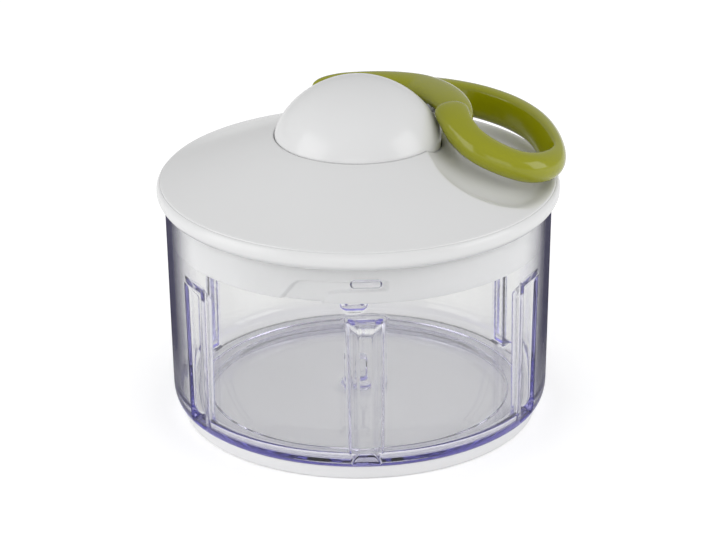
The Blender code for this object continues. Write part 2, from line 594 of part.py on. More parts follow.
def make_carrier(finishes):
    """Carrier plate with the skirt that locks in the bowl and the tower that holds the drive."""
    plate_top = PLATE_BOTTOM + PLATE_THICKNESS
    skirt_inner = SKIRT_RADIUS - SKIRT_WALL
    skirt_top = min(cone_height(radius) - COVER_WALL - RECESS_DEPTH * rim_fade(radius)
                    for radius in (skirt_inner, SKIRT_RADIUS)) - 2 * GAP
    outline = [(TOWER_BORE, PLATE_BOTTOM), (skirt_inner - SKIRT_STEP, PLATE_BOTTOM),
               (skirt_inner, SKIRT_BOTTOM), (SKIRT_RADIUS, SKIRT_BOTTOM), (SKIRT_RADIUS, skirt_top),
               (skirt_inner, skirt_top), (skirt_inner, plate_top), (TOWER_RADIUS + TOWER_FOOT, plate_top),
               (TOWER_RADIUS, plate_top + TOWER_FOOT_HEIGHT), (TOWER_RADIUS - TOWER_TAPER, TOWER_TOP),
               (TOWER_BORE, TOWER_TOP)]
    carrier = turned("lid_carrier", outline, finishes["white plastic"])

    mouths = bmesh.new()
    tracks = bmesh.new()
    mouth_radius = lug_face() - GAP
    for index in range(LUG_COUNT):
        lug = LUG_FIRST_ANGLE + math.tau * index / LUG_COUNT
        closed_end = lug + LUG_ARC / 2 + TRACK_MARGIN
        open_end = lug - UNLOCK_ANGLE - LUG_ARC / 2 - TRACK_MARGIN
        ring_sector(mouths, mouth_radius, closed_end, open_end, SKIRT_BOTTOM - OVERSHOOT, LUG_BOTTOM)
        ring_sector(tracks, mouth_radius - TRACK_SET_BACK, closed_end + TRACK_MARGIN / 2,
                    open_end - TRACK_MARGIN / 2, LUG_BOTTOM - GAP, LUG_BOTTOM + LUG_HEIGHT + GAP)
    combine(carrier, object_from("bayonet_mouths", mouths, None), "DIFFERENCE")
    combine(carrier, object_from("bayonet_tracks", tracks, None), "DIFFERENCE")
    holes = bmesh.new()
    head_top = PLATE_BOTTOM - GAP
    head_bottom = head_top - SCREW_HEAD_HEIGHT
    tip = head_top + SCREW_LENGTH
    screw = [(0.0, head_bottom), (SCREW_HEAD - SCREW_HEAD_CHAMFER, head_bottom), (SCREW_HEAD, head_top),
             (SCREW_SHANK, head_top), (SCREW_SHANK, tip - SCREW_POINT), (0.0, tip)]
    for index, centre in enumerate(screw_centres()):
        prism_into(holes, circle(SCREW_SHANK + GAP, STEPS_SMALL, centre), PLATE_BOTTOM - OVERSHOOT,
                   plate_top + OVERSHOOT)
        turned(f"carrier_screw_{index + 1}", screw, finishes["steel"], STEPS_SMALL, centre)
    combine(carrier, object_from("carrier_holes", holes, None), "DIFFERENCE")

    seal_bottom = BOWL_TOP + GAP
    seal_top = seal_bottom + SEAL_THICKNESS
    inner = SKIRT_RADIUS + 3 * GAP
    outer = BOWL_MOUTH_RADIUS + GAP / 2
    turned("lid_seal", [(inner, seal_bottom), (outer, seal_bottom), (outer, seal_top), (inner, seal_top)],
           finishes["clear silicone"])


def make_shaft(finishes):
    """Drive shaft with its hexagonal socket, two bushes, clip, ratchet wheel and thrust washer."""
    head_top = PLATE_BOTTOM - GAP
    clip_bottom = TOWER_TOP + GAP
    clip_top = clip_bottom + CLIP_THICKNESS
    groove = SHAFT_RADIUS - CLIP_GROOVE
    outline = [(0.0, SOCKET_HEAD_BOTTOM), (SOCKET_HEAD_RADIUS, SOCKET_HEAD_BOTTOM),
               (SOCKET_HEAD_RADIUS, head_top), (SHAFT_RADIUS, head_top), (SHAFT_RADIUS, clip_bottom - GAP),
               (groove, clip_bottom - GAP), (groove, clip_top + GAP), (SHAFT_RADIUS, clip_top + GAP),
               (SHAFT_RADIUS, SHAFT_TOP), (0.0, SHAFT_TOP)]
    shaft = turned("drive_shaft", outline, finishes["grey plastic"], STEPS_MEDIUM)
    corner = SOCKET_FLATS / math.sqrt(3)
    socket = prism("drive_socket", circle(corner, 6), SOCKET_HEAD_BOTTOM - OVERSHOOT,
                   SOCKET_HEAD_BOTTOM + SOCKET_DEPTH, None)
    combine(shaft, socket, "DIFFERENCE")
    beyond = SHAFT_RADIUS + OVERSHOOT
    flat = prism("shaft_flat", [(SHAFT_FLAT, -beyond), (beyond, -beyond), (beyond, beyond),
                                (SHAFT_FLAT, beyond)], RATCHET_BOTTOM - GAP, SHAFT_TOP + OVERSHOOT, None)
    combine(shaft, flat, "DIFFERENCE")

    bush_in = SHAFT_RADIUS + GAP
    bush_out = TOWER_BORE - GAP
    for name, bottom in (("lower_bush", PLATE_BOTTOM + GAP), ("upper_bush", TOWER_TOP - BUSH_LENGTH)):
        top = bottom + BUSH_LENGTH
        turned(name, [(bush_in, bottom), (bush_out, bottom), (bush_out, top), (bush_in, top)],
               finishes["bronze"], STEPS_MEDIUM)
    sweep = math.tau - 2 * CLIP_HALF_OPENING
    clip = [polar(SHAFT_RADIUS + CLIP_REACH, CLIP_HALF_OPENING + sweep * i / CLIP_STEPS)
            for i in range(CLIP_STEPS + 1)]
    clip += [polar(groove + GAP, -CLIP_HALF_OPENING - sweep * i / CLIP_STEPS)
             for i in range(CLIP_STEPS + 1)]
    prism("shaft_clip", clip, clip_bottom, clip_top, finishes["steel"])

    teeth = []
    pitch = math.tau / RATCHET_TEETH
    for index in range(RATCHET_TEETH):
        teeth.append(polar(RATCHET_TIP, pitch * index))
        teeth.append(polar(RATCHET_ROOT, pitch * index + RATCHET_UNDERCUT))
        teeth.append(polar(RATCHET_BACK, pitch * (index + RATCHET_BACK_SHARE)))
    wheel = prism("ratchet_wheel", teeth, RATCHET_BOTTOM, RATCHET_TOP, finishes["grey plastic"])
    bore = prism("ratchet_bore", flatted_circle(SHAFT_RADIUS + GAP, SHAFT_FLAT + GAP, STEPS_MEDIUM),
                 RATCHET_BOTTOM - OVERSHOOT, RATCHET_TOP + OVERSHOOT, None)
    combine(wheel, bore, "DIFFERENCE")
    washer_bottom = RATCHET_TOP + GAP
    washer_top = washer_bottom + WASHER_THICKNESS
    washer_out = RATCHET_ROOT - GAP
    washer = [(bush_in, washer_bottom), (washer_out, washer_bottom), (washer_out, washer_top),
              (bush_in, washer_top)]
    turned("thrust_washer", washer, finishes["steel"], STEPS_MEDIUM)


def make_pawls(finishes):
    """Two pawls on the spool's posts, with their origins on the posts' axes."""
    bottom = RATCHET_BOTTOM + (RATCHET_HEIGHT - PAWL_HEIGHT) / 2
    for index in range(PAWL_COUNT):
        turn = math.tau * index / PAWL_COUNT
        pivot = Vector(polar(PAWL_PIVOT_CIRCLE, PAWL_PIVOT_ANGLE + turn))
        tip = Vector(polar(RATCHET_ROOT + PAWL_TIP_CLEARANCE, PAWL_TIP_ANGLE + turn))
        heel = Vector(polar(RATCHET_TIP + PAWL_HEEL_CLEARANCE, PAWL_TIP_ANGLE + turn))
        toward = tip - pivot
        facing = math.atan2(toward.y, toward.x)
        outline = [tip]
        for step in range(PAWL_ROUND_STEPS + 1):
            angle = facing - math.pi / 2 - math.pi * step / PAWL_ROUND_STEPS
            outline.append(pivot + Vector(polar(PAWL_EYE_RADIUS, angle)))
        outline.append(heel)
        pawl = prism(f"pawl_{index + 1}", [(p.x, p.y) for p in outline], bottom, bottom + PAWL_HEIGHT,
                     finishes["steel"])
        bore = prism(f"pawl_bore_{index + 1}", circle(PAWL_POST_RADIUS + GAP, STEPS_SMALL, tuple(pivot)),
                     bottom - OVERSHOOT, bottom + PAWL_HEIGHT + OVERSHOOT, None)
        combine(pawl, bore, "DIFFERENCE")
        move_origin(pawl, (pivot.x, pivot.y, bottom))


def make_spool(finishes):
    """Spool with its winding core, drum and pawl posts, and the clutch plate under it."""
    channel_top = SPOOL_TOP - SPOOL_FLANGE
    core_inner = SPOOL_CORE_RADIUS - SPOOL_CORE_WALL
    drum_bottom = CLUTCH_PLATE_TOP + GAP
    bore = SHAFT_RADIUS + GAP
    outline = [(bore, SPOOL_BOTTOM), (DRUM_RADIUS - DRUM_WALL, SPOOL_BOTTOM),
               (DRUM_RADIUS - DRUM_WALL, drum_bottom), (DRUM_RADIUS, drum_bottom),
               (DRUM_RADIUS, SPOOL_BOTTOM), (SPOOL_LOWER_RADIUS, SPOOL_BOTTOM),
               (SPOOL_LOWER_RADIUS, SPOOL_DISC_TOP), (SPOOL_CORE_RADIUS, SPOOL_DISC_TOP),
               (SPOOL_CORE_RADIUS, channel_top), (SPOOL_UPPER_RADIUS, channel_top),
               (SPOOL_UPPER_RADIUS, SPOOL_TOP), (core_inner, SPOOL_TOP), (core_inner, SPOOL_DISC_TOP),
               (bore, SPOOL_DISC_TOP)]
    spool = turned("spool", outline, finishes["grey plastic"], STEPS_MEDIUM)
    posts = bmesh.new()
    for index in range(PAWL_COUNT):
        centre = polar(PAWL_PIVOT_CIRCLE, PAWL_PIVOT_ANGLE + math.tau * index / PAWL_COUNT)
        prism_into(posts, circle(PAWL_POST_RADIUS, STEPS_SMALL, centre), drum_bottom,
                   SPOOL_BOTTOM + SPOOL_DISC / 2)
    combine(spool, object_from("pawl_posts", posts, None), "UNION")
    turned("clutch_plate", [(CLUTCH_PLATE_BORE, CLUTCH_PLATE_BOTTOM), (DRUM_RADIUS, CLUTCH_PLATE_BOTTOM),
                            (DRUM_RADIUS, CLUTCH_PLATE_TOP), (CLUTCH_PLATE_BORE, CLUTCH_PLATE_TOP)],
           finishes["steel"], STEPS_MEDIUM)


def make_recoil(finishes):
    """Recoil spring and the arbor that holds its inner end."""
    bore = SHAFT_RADIUS + GAP
    bottom = SPOOL_DISC_TOP + GAP
    flange_top = SPOOL_TOP + ARBOR_HEADROOM - GAP
    flange_bottom = flange_top - ARBOR_FLANGE
    turned("spring_arbor", [(bore, bottom), (ARBOR_RADIUS, bottom), (ARBOR_RADIUS, flange_bottom),
                            (DOME_BOSS_RADIUS, flange_bottom), (DOME_BOSS_RADIUS, flange_top),
                            (bore, flange_top)], finishes["grey plastic"], STEPS_MEDIUM)

    first = ARBOR_RADIUS + GAP + SPRING_STRIP
    last = SPOOL_CORE_RADIUS - SPOOL_CORE_WALL - GAP - SPRING_STRIP
    count = SPRING_TURNS * SPRING_TURN_POINTS
    inner_edge = []
    outer_edge = []
    for index in range(count + 1):
        angle = math.tau * SPRING_TURNS * index / count
        radius = first + (last - first) * index / count
        inner_edge.append(polar(radius - SPRING_STRIP / 2, angle))
        outer_edge.append(polar(radius + SPRING_STRIP / 2, angle))
    spring_bottom = SPOOL_DISC_TOP + (SPOOL_CHANNEL - SPRING_HEIGHT) / 2
    strip_prism("recoil_spring", inner_edge, outer_edge, spring_bottom, spring_bottom + SPRING_HEIGHT,
                finishes["steel"])
    least = (last - first) / SPRING_TURNS - SPRING_STRIP
    print("recoil spring: least gap between turns %.2f mm" % (least / MM))


def strip_prism(name, left, right, bottom, top, material):
    """A long upright strip between two plan lines, closed at both ends."""
    bm = bmesh.new()
    rows = []
    for (ax, ay), (bx, by) in zip(left, right):
        rows.append([bm.verts.new((ax, ay, bottom)), bm.verts.new((bx, by, bottom)),
                     bm.verts.new((bx, by, top)), bm.verts.new((ax, ay, top))])
    bridge(bm, list(zip(rows, rows[1:])))
    bm.faces.new(rows[0])
    bm.faces.new(rows[-1])
    return object_from(name, bm, material)


def bridge(bm, pairs):
    """Join pairs of closed rows of points with faces."""
    for here, there in pairs:
        for step, vert in enumerate(here):
            following = (step + 1) % len(here)
            bm.faces.new((vert, here[following], there[following], there[step]))


def tube(name, points, diameter, resolution, material):
    """A round cord through its points, with closed ends."""
    curve = bpy.data.curves.new(name, "CURVE")
    curve.dimensions = "3D"
    curve.bevel_depth = diameter / 2
    curve.bevel_resolution = resolution
    curve.use_fill_caps = True
    spline = curve.splines.new("POLY")
    spline.points.add(len(points) - 1)
    for point, place in zip(spline.points, points):
        point.co = (*place, 1.0)
    curve.materials.append(material)
    bpy.context.scene.collection.objects.link(bpy.data.objects.new(name, curve))


def least_gap(points, diameter, skip):
    """Least distance between the surfaces of two stretches of a cord that aren't neighbours."""
    places = [Vector(point) for point in points]
    return min((places[i] - places[j]).length for i in range(len(places))
               for j in range(i + skip, len(places))) - diameter


def make_cord(finishes):
    """Cord: its turns on the spool, the run to the eyelet, and the knotted end in the handle."""
    wound = SPOOL_CORE_RADIUS + GAP + CORD_DIAMETER / 2
    lapped = wound + CORD_DIAMETER + GAP
    corner = Vector((GUIDE_INNER - CORD_DIAMETER, 0.0))
    leave = math.acos(lapped / corner.x)
    first = SPOOL_DISC_TOP + GAP + CORD_DIAMETER / 2
    count = int(CORD_TURNS * CORD_TURN_POINTS)
    turns = []
    for index in range(count + 1):
        share = index / count
        angle = PULL_ANGLE + leave + math.tau * CORD_TURNS * (1 - share)
        turns.append((*polar(wound, angle), first + CORD_PITCH * CORD_TURNS * share))
    tube("cord_winding", turns, CORD_DIAMETER, 1, finishes["cord"])
    gap = least_gap(turns, CORD_DIAMETER, CORD_TURN_POINTS // 2)
    print("cord winding: least gap between turns %.2f mm" % (gap / MM))

    tangent = Vector(polar(lapped, leave))
    straight = corner + Vector((CORD_BEND_END, 0.0))
    bend = tangent.lerp(corner, CORD_BEND_START)
    route = [Vector(polar(lapped, leave + CORD_LAP_ANGLE * (1 - index / CORD_LAP_POINTS)))
             for index in range(CORD_LAP_POINTS)]
    route += [tangent, tangent.lerp(bend, 0.5)]
    for index in range(CORD_BEND_POINTS):
        share = index / (CORD_BEND_POINTS - 1)
        route.append(bend.lerp(corner, share).lerp(corner.lerp(straight, share), share))
    end = Vector((GUIDE_OUTER, 0.0))
    route += [straight.lerp(end, 0.5), end]
    top = turns[-1][2]
    run = [(*pull_frame(point.x, point.y), top + (CORD_HEIGHT - top) * index / (len(route) - 1))
           for index, point in enumerate(route)]
    tube("cord_run", run, CORD_DIAMETER, 2, finishes["cord"])

    start = GUIDE_OUTER + GAP
    stem = CORD_DIAMETER / 2
    meet = math.sqrt(KNOT_RADIUS ** 2 - stem ** 2)
    rise = math.degrees(math.asin(meet / KNOT_RADIUS))
    ball = arc(0.0, KNOT_REACH, KNOT_RADIUS, KNOT_RADIUS, -rise, 90, KNOT_ARC_STEPS)
    ball[-1] = (0.0, KNOT_REACH + KNOT_RADIUS)
    bm = bmesh.new()
    spin_into(bm, [(0.0, start), (stem, start), *ball], STEPS_SMALL)
    lay_along_pull(object_from("cord_knot", bm, finishes["cord"]))


def spline_through(points, count, closed=False):
    """Even samples of a smooth curve through points with any number of values each."""
    spans = len(points) if closed else len(points) - 1
    samples = []
    for index in range(count):
        place = spans * index / (count if closed else count - 1)
        span = min(int(place), spans - 1)
        t = place - span
        if closed:
            near = [points[(span + k - 1) % len(points)] for k in range(4)]
        else:
            near = [points[min(max(span + k - 1, 0), len(points) - 1)] for k in range(4)]
        samples.append(tuple(0.5 * (2 * b + (c - a) * t + (2 * a - 5 * b + 4 * c - d) * t * t
                                    + (3 * b - a - 3 * c + d) * t ** 3) for a, b, c, d in zip(*near)))
    return samples


def handle_height(x, y):
    """Height of the handle's middle line above the base at a plan point."""
    return cone_height(math.hypot(x, y)) + HANDLE_RISE + HANDLE_TWIST * x * y


def handle_section(half, over, under, ridge, lean):
    """Outline of the handle's bar as (outwards, upwards): round outside, flat wall on the hole's side."""
    start = math.acos(max(ridge / half, -1.0))
    points = []
    for step in range(HANDLE_SECTION_POINTS):
        angle = start + (HANDLE_WALL_FOOT - start) * step / (HANDLE_SECTION_POINTS - 1)
        up = (over if math.sin(angle) > 0.0 else under) * math.sin(angle)
        out = half * math.cos(angle)
        points.append((out + lean * up * max(math.cos(angle), 0.0), up))
    return points


def loft(name, route, stations, closed, material):
    """A bar along a plan route that keeps to the cone's slope, its round side on the route's right."""
    placed_route = []
    for angle, place, *sizes, lean in route:
        radius = DOME_RADIUS + (LID_RADIUS - DOME_RADIUS) * place
        placed_route.append((*polar(radius, math.radians(angle)), *(size * MM for size in sizes), lean))
    samples = spline_through(placed_route, stations, closed)
    bm = bmesh.new()
    rings = []
    last = len(samples) - 1
    for index, (x, y, *shape) in enumerate(samples):
        before = samples[index - 1] if closed else samples[max(index - 1, 0)]
        after = samples[0 if closed and index == last else min(index + 1, last)]
        along = Vector((after[0] - before[0], after[1] - before[1], 0.0)).normalized()
        across = Vector((along.y, -along.x, 0.0))
        centre = Vector((x, y, handle_height(x, y)))
        rings.append([bm.verts.new(centre + across * out + Vector((0.0, 0.0, up)))
                      for out, up in handle_section(*shape)])
    pairs = list(zip(rings, rings[1:]))
    if closed:
        pairs.append((rings[-1], rings[0]))
    bridge(bm, pairs)
    if not closed:
        bm.faces.new(rings[0])
        bm.faces.new(rings[-1])
    return object_from(name, bm, material, math.radians(40))


def make_handle(finishes):
    """Ring handle with its tail, the knot's pocket and the plug that closes the pocket."""
    handle = loft("handle", RING_ROUTE, HANDLE_RING_STATIONS, True, finishes["green plastic"])
    combine(handle, loft("handle_tail", TAIL_ROUTE, HANDLE_TAIL_STATIONS, False, None), "UNION")
    centre = polar(KNOT_REACH, PULL_ANGLE)
    room = KNOT_RADIUS + 2 * GAP
    pocket = prism("knot_pocket", circle(room, STEPS_SMALL, centre), CORD_HEIGHT - POCKET_DEPTH,
                   CORD_HEIGHT + room, None)
    combine(handle, pocket, "DIFFERENCE")
    hole = level_bore("knot_hole", CORD_DIAMETER / 2 + GAP, KNOT_HOLE_LENGTH,
                      KNOT_REACH - KNOT_HOLE_LENGTH / 2)
    combine(handle, hole, "DIFFERENCE")
    plug_top = CORD_HEIGHT - KNOT_RADIUS - GAP
    plug_bottom = plug_top - PLUG_HEIGHT
    plug_radius = room - GAP
    turned("knot_plug", [(0.0, plug_bottom), (plug_radius, plug_bottom), (plug_radius, plug_top),
                         (0.0, plug_top)], finishes["green plastic"], STEPS_SMALL, centre)


def main():
    for piece in list(bpy.data.objects):
        bpy.data.objects.remove(piece, do_unlink=True)
    finishes = {
        "soft white": finish("soft white", (0.80, 0.81, 0.82), 0.45),
        "grey rubber": finish("grey rubber", (0.45, 0.46, 0.48), 0.8),
        "clear plastic": finish("clear plastic", (0.93, 0.93, 0.97), 0.05, transmission=1.0),
        "white plastic": finish("white plastic", (0.82, 0.83, 0.84), 0.25),
        "green plastic": finish("green plastic", (0.33, 0.36, 0.02), 0.2),
        "grey plastic": finish("grey plastic", (0.30, 0.31, 0.33), 0.4),
        "clear silicone": finish("clear silicone", (0.75, 0.76, 0.78), 0.5),
        "bronze": finish("bronze", (0.55, 0.36, 0.16), 0.35, metallic=1.0),
        "steel": finish("steel", (0.60, 0.60, 0.62), 0.3, metallic=1.0),
        "cord": finish("cord", (0.75, 0.75, 0.76), 0.8),
    }
    make_base(finishes)
    make_bowl(finishes)
    make_cover(finishes)
    make_dome(finishes)
    make_guide(finishes)
    make_carrier(finishes)
    make_shaft(finishes)
    make_pawls(finishes)
    make_spool(finishes)
    make_recoil(finishes)
    make_cord(finishes)
    make_handle(finishes)


main()
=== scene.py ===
"""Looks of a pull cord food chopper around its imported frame: clear ribbed bowl on a pale base, white
lid with a dome, green loop handle, and the cord drive inside."""

import math

import bpy
import numpy as np
from mathutils import Matrix, Vector


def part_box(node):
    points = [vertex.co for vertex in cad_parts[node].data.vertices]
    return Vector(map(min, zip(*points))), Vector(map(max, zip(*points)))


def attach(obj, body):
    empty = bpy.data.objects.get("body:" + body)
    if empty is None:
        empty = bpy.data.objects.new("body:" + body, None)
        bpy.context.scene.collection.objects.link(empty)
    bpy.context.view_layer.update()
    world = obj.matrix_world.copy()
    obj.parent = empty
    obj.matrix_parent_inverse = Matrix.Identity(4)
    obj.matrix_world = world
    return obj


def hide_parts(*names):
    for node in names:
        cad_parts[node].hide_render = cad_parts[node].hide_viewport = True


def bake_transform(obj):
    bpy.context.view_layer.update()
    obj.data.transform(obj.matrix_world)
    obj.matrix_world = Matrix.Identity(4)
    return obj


bl_info = {
    "name": "Pull Cord Chopper",
    "version": (1, 0, 0),
    "blender": (4, 5, 0),
    "location": "3D View > Sidebar > Chopper",
    "description": "Builds the looks of a pull cord food chopper around its packed frame",
    "category": "Object",
}

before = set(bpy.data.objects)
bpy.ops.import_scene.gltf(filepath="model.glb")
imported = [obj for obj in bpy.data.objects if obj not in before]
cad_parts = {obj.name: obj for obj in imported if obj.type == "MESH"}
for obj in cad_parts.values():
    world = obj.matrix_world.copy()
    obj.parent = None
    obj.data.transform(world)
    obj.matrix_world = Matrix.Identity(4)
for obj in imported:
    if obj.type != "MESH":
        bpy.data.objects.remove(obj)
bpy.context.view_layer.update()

MM = 0.001
GAP = 0.3 * MM

# Bowl
BOWL_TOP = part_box("bowl")[1].z
BOWL_MOUTH = 75.45 * MM
BOWL_FOOT = 74.1 * MM
BOWL_UNDERSIDE = 6.0 * MM
BOWL_CORNER_TOP = 13.0 * MM
BOWL_CORNER_REACH = 1.9 * MM
BOWL_CORNER_DROP = 6.5 * MM
BOWL_CORNER_INSIDE = 71.95 * MM
BOWL_FLOOR_TOP = 8.4 * MM
BOWL_FILLET = 6.5 * MM
BOWL_WALL = 2.4 * MM

# Channels of the bowl, with columns of points at these millimetres from a channel's middle
CHANNELS = 6
FIRST_CHANNEL = math.radians(-88.2)
CHANNEL_HALF_BED = 2.8 * MM
CHANNEL_BED = 69.65 * MM
CHANNEL_SLOPE = 1.62
CHANNEL_FOOT = 11.4 * MM
CHANNEL_HEAD = 61.2 * MM
CHANNEL_FOOT_SLOPE = 1.1
CHANNEL_HEAD_SLOPE = 0.92
RIB_CREST = 67.25 * MM
RIB_HALF_CREST = 4.0 * MM
RIB_SLOPE = 1.62
RIB_HEAD = 62.4 * MM
RIB_HEAD_SLOPE = 0.92
CHANNEL_SOFTNESS = 1.0 * MM
RIB_SOFTNESS = 1.2 * MM
CHANNEL_GUARD = 60.0 * MM
CHANNEL_COLUMNS = [0.0, 0.8, 1.5, 2.0, 2.3, 2.55, 2.8, 3.05, 3.3, 3.6, 3.9, 4.15, 4.4, 4.7, 5.0, 5.3, 5.6,
                   5.85, 6.1, 6.35, 6.6, 6.9, 7.2, 7.6, 8.2, 9.4]
FREE_COLUMNS = 12

# Bayonet lugs in the bowl and their tracks in the skirt, outlined in degrees and millimetres up
LUG_OFFSET = 0.3 * MM
LUG_HALF_LENGTH = 5.6 * MM
LUG_MIDDLE = 82.2 * MM
LUG_HALF_HEIGHT = 1.45 * MM
LUG_DEPTH = 1.1 * MM
LUG_SOFTNESS = 0.35 * MM
TRACK_DEPTH = 1.33 * MM
TRACK_EDGE = 0.25 * MM
TRACK_OUTLINE = [(-114.6, 72.0), (-113.3, 74.4), (-109.6, 80.6), (-108.0, 82.1), (-105.5, 82.6),
                 (-82.0, 82.7), (-82.0, 79.4), (-96.0, 79.2), (-99.0, 78.2), (-100.6, 75.4), (-102.0, 72.0)]

# Lid
LID_RADIUS = 78.5 * MM
DOME_RADIUS = 33.04 * MM
DOME_RISE = 26.76 * MM
DOME_CENTRE = 108.46 * MM
DOME_FOOT = 114.2 * MM
DOME_CROWN = 1.5 * MM
DOME_CROWN_POWER = 5
DOME_WALL = 2.2 * MM
DOME_FOOT_RADIUS = DOME_RADIUS * math.sqrt(1 - ((DOME_FOOT - DOME_CENTRE) / DOME_RISE) ** 2)
CREASE_RADIUS = 77.0 * MM
CREASE_HEIGHT = 96.4 * MM
COVER_WALL = 2.3 * MM
RECESS_DEPTH = 4.0 * MM
RECESS_BLEND = 13.0 * MM
RECESS_NEAR = 18.1 * MM
RECESS_FAR = 100.0 * MM
RECESS_HALF_WIDTH = 57.9 * MM
RECESS_CORNER = 23.6 * MM
RECESS_FADE = 9.0 * MM
SKIRT_RADIUS = 72.3 * MM
SKIRT_BOTTOM = 74.2 * MM

# Handle and cord
PULL_ANGLE = math.radians(20.0)
PULL = Vector((math.cos(PULL_ANGLE), math.sin(PULL_ANGLE), 0.0))
ALONG_PULL = (0.0, math.pi / 2, PULL_ANGLE)
HANDLE_RISE = 7.7 * MM
HANDLE_TWIST = 0.9
WALL_FOOT = math.radians(-150.0)
LOOP_STATIONS = 220
BAR_STATIONS = 110
SECTION_POINTS = 64
SKIN_DETAIL = 0.42 * MM
SKIN_SMOOTHING = 28
CORD_DIAMETER = 1.8 * MM
CORD_HEIGHT = 119.6 * MM
GUIDE_INNER = 23.3 * MM
GUIDE_OUTER = 29.4 * MM
GUIDE_HOLE = 2.8 * MM
KNOT_REACH = 37.6 * MM
KNOT_RADIUS = 2.4 * MM
WOUND_RADIUS = 17.9 * MM
WOUND_TURNS = 3.6
WOUND_FIRST = 112.1 * MM
WOUND_PITCH = 2.3 * MM

# Stations of the handle's bars: angle in degrees, place from the dome's side at 0 to the lid's edge
# at 1, then in millimetres half width, height over and depth under the middle line, how far outwards
# of that line the ridge on the hole's side stands, and last the outer side's lean over the dome
LOOP_BAR = [(-1.14, 0.9255, 5.6, 6.2, 6.2, 1.2, 0.0), (11.73, 0.9178, 5.9, 6.2, 6.5, -0.5, 0.0),
            (23.77, 0.9101, 6.2, 6.2, 7.2, -2.0, 0.0), (35.79, 0.8679, 6.4, 6.2, 7.6, -2.8, 0.0),
            (47.10, 0.7597, 6.6, 6.2, 7.6, -2.8, 0.0), (55.49, 0.5545, 6.7, 6.1, 7.2, -3.2, 0.2),
            (55.97, 0.2951, 6.7, 6.0, 7.0, -4.6, 0.5), (41.30, 0.1550, 7.3, 5.7, 8.0, -6.0, 0.6),
            (23.18, 0.1200, 6.8, 5.0, 8.8, -6.0, 0.6), (6.86, 0.1100, 6.2, 4.6, 8.8, -5.2, 0.5),
            (-10.38, 0.1521, 6.9, 6.0, 8.0, -3.6, 0.2), (-19.25, 0.3543, 7.0, 6.2, 7.0, -2.5, 0.0),
            (-19.82, 0.5709, 6.4, 6.2, 6.4, -2.5, 0.0), (-16.34, 0.7586, 6.2, 6.2, 6.2, -2.0, 0.0),
            (-9.45, 0.8810, 5.9, 6.2, 6.2, -0.5, 0.0)]
TAIL_BAR = [(119.68, 0.0505, 1.6, 3.4, 3.0, -1.6, 0.0), (114.18, 0.0520, 3.5, 5.0, 4.6, -3.5, 0.2),
            (103.02, 0.0544, 4.6, 5.8, 5.6, -4.6, 0.4), (86.82, 0.0663, 5.4, 5.9, 6.0, -5.4, 0.5),
            (68.75, 0.1250, 6.6, 6.3, 6.4, -6.4, 0.5), (56.50, 0.2350, 7.3, 6.6, 6.6, -6.6, 0.5),
            (52.50, 0.4300, 6.9, 6.3, 6.4, -5.0, 0.2)]
STRAND_BAR = [(84.00, 0.0750, 5.2, 5.7, 6.0, -5.0, 0.5), (70.00, 0.1250, 6.8, 6.3, 6.4, -6.4, 0.5),
              (56.00, 0.2000, 8.2, 6.6, 7.0, -7.3, 0.7), (43.00, 0.1750, 8.5, 6.5, 7.6, -7.5, 0.8),
              (31.00, 0.1500, 8.3, 6.3, 8.4, -7.5, 0.8), (19.00, 0.1350, 7.7, 5.9, 8.4, -7.0, 0.8),
              (9.00, 0.1320, 7.0, 5.2, 8.4, -6.3, 0.7), (1.00, 0.1400, 5.8, 4.0, 7.6, -5.2, 0.5),
              (-6.00, 0.1550, 4.0, 2.6, 6.0, -3.5, 0.3)]
SHOULDER_BAR = [(10.00, 0.0880, 2.8, 3.0, 6.0, -2.2, 0.3), (6.50, 0.0900, 5.4, 5.4, 8.2, -4.0, 0.6),
                (1.00, 0.0980, 6.9, 6.8, 8.8, -5.3, 0.7), (-5.00, 0.1200, 7.4, 6.9, 8.8, -4.8, 0.5),
                (-12.00, 0.1800, 7.4, 6.6, 8.2, -3.6, 0.2), (-18.00, 0.3000, 7.0, 6.1, 7.2, -2.6, 0.0)]

# Studio light: strength of the sky at the horizon and overhead, and the same as glass and gloss show it
SKY_LOW = 1.20
SKY_HIGH = 0.77
GLASS_LOW = 0.35
GLASS_HIGH = 0.95
GLOSS_LOW = 0.45
GLOSS_HIGH = 0.55
SKY_RISE = 1.8
GLASS_BOUNCES = 24
FLOOR_LIFT = 0.22
FLOOR_SIZE = 8.0
LAMPS = (("lamp_left", (-0.80, -0.32, 0.34), 0.7, 2.6), ("lamp_right", (0.85, -0.25, 0.42), 0.6, 2.2),
         ("lamp_front", (-0.1, -1.3, 0.12), 0.8, 2.0))
LAMP_AIM = Vector((0.0, 0.0, 0.07))

# Camera of the photograph
CAMERA_PLACE = (0.0, -1.15065, 0.55064)
CAMERA_PITCH = math.radians(90 - 23.24)
CAMERA_ROLL = math.radians(-0.48)
CAMERA_LENS = 159.84
CAMERA_SHIFT = -0.00128


# Tools for modelling

def free_selection():
    """Return to object mode with nothing selected."""
    if bpy.context.object is not None and bpy.context.object.mode != "OBJECT":
        bpy.ops.object.mode_set(mode="OBJECT")
    bpy.ops.object.select_all(action="DESELECT")


def pick(piece):
    """Make one piece the selected and active one."""
    free_selection()
    piece.select_set(True)
    bpy.context.view_layer.objects.active = piece


def read_points(piece):
    """The piece's points as rows of an array."""
    points = np.empty(len(piece.data.vertices) * 3)
    piece.data.vertices.foreach_get("co", points)
    return points.reshape(-1, 3)


def write_points(piece, points):
    """Put the piece's points where the rows say."""
    piece.data.vertices.foreach_set("co", np.asarray(points, float).ravel())
    piece.data.update()


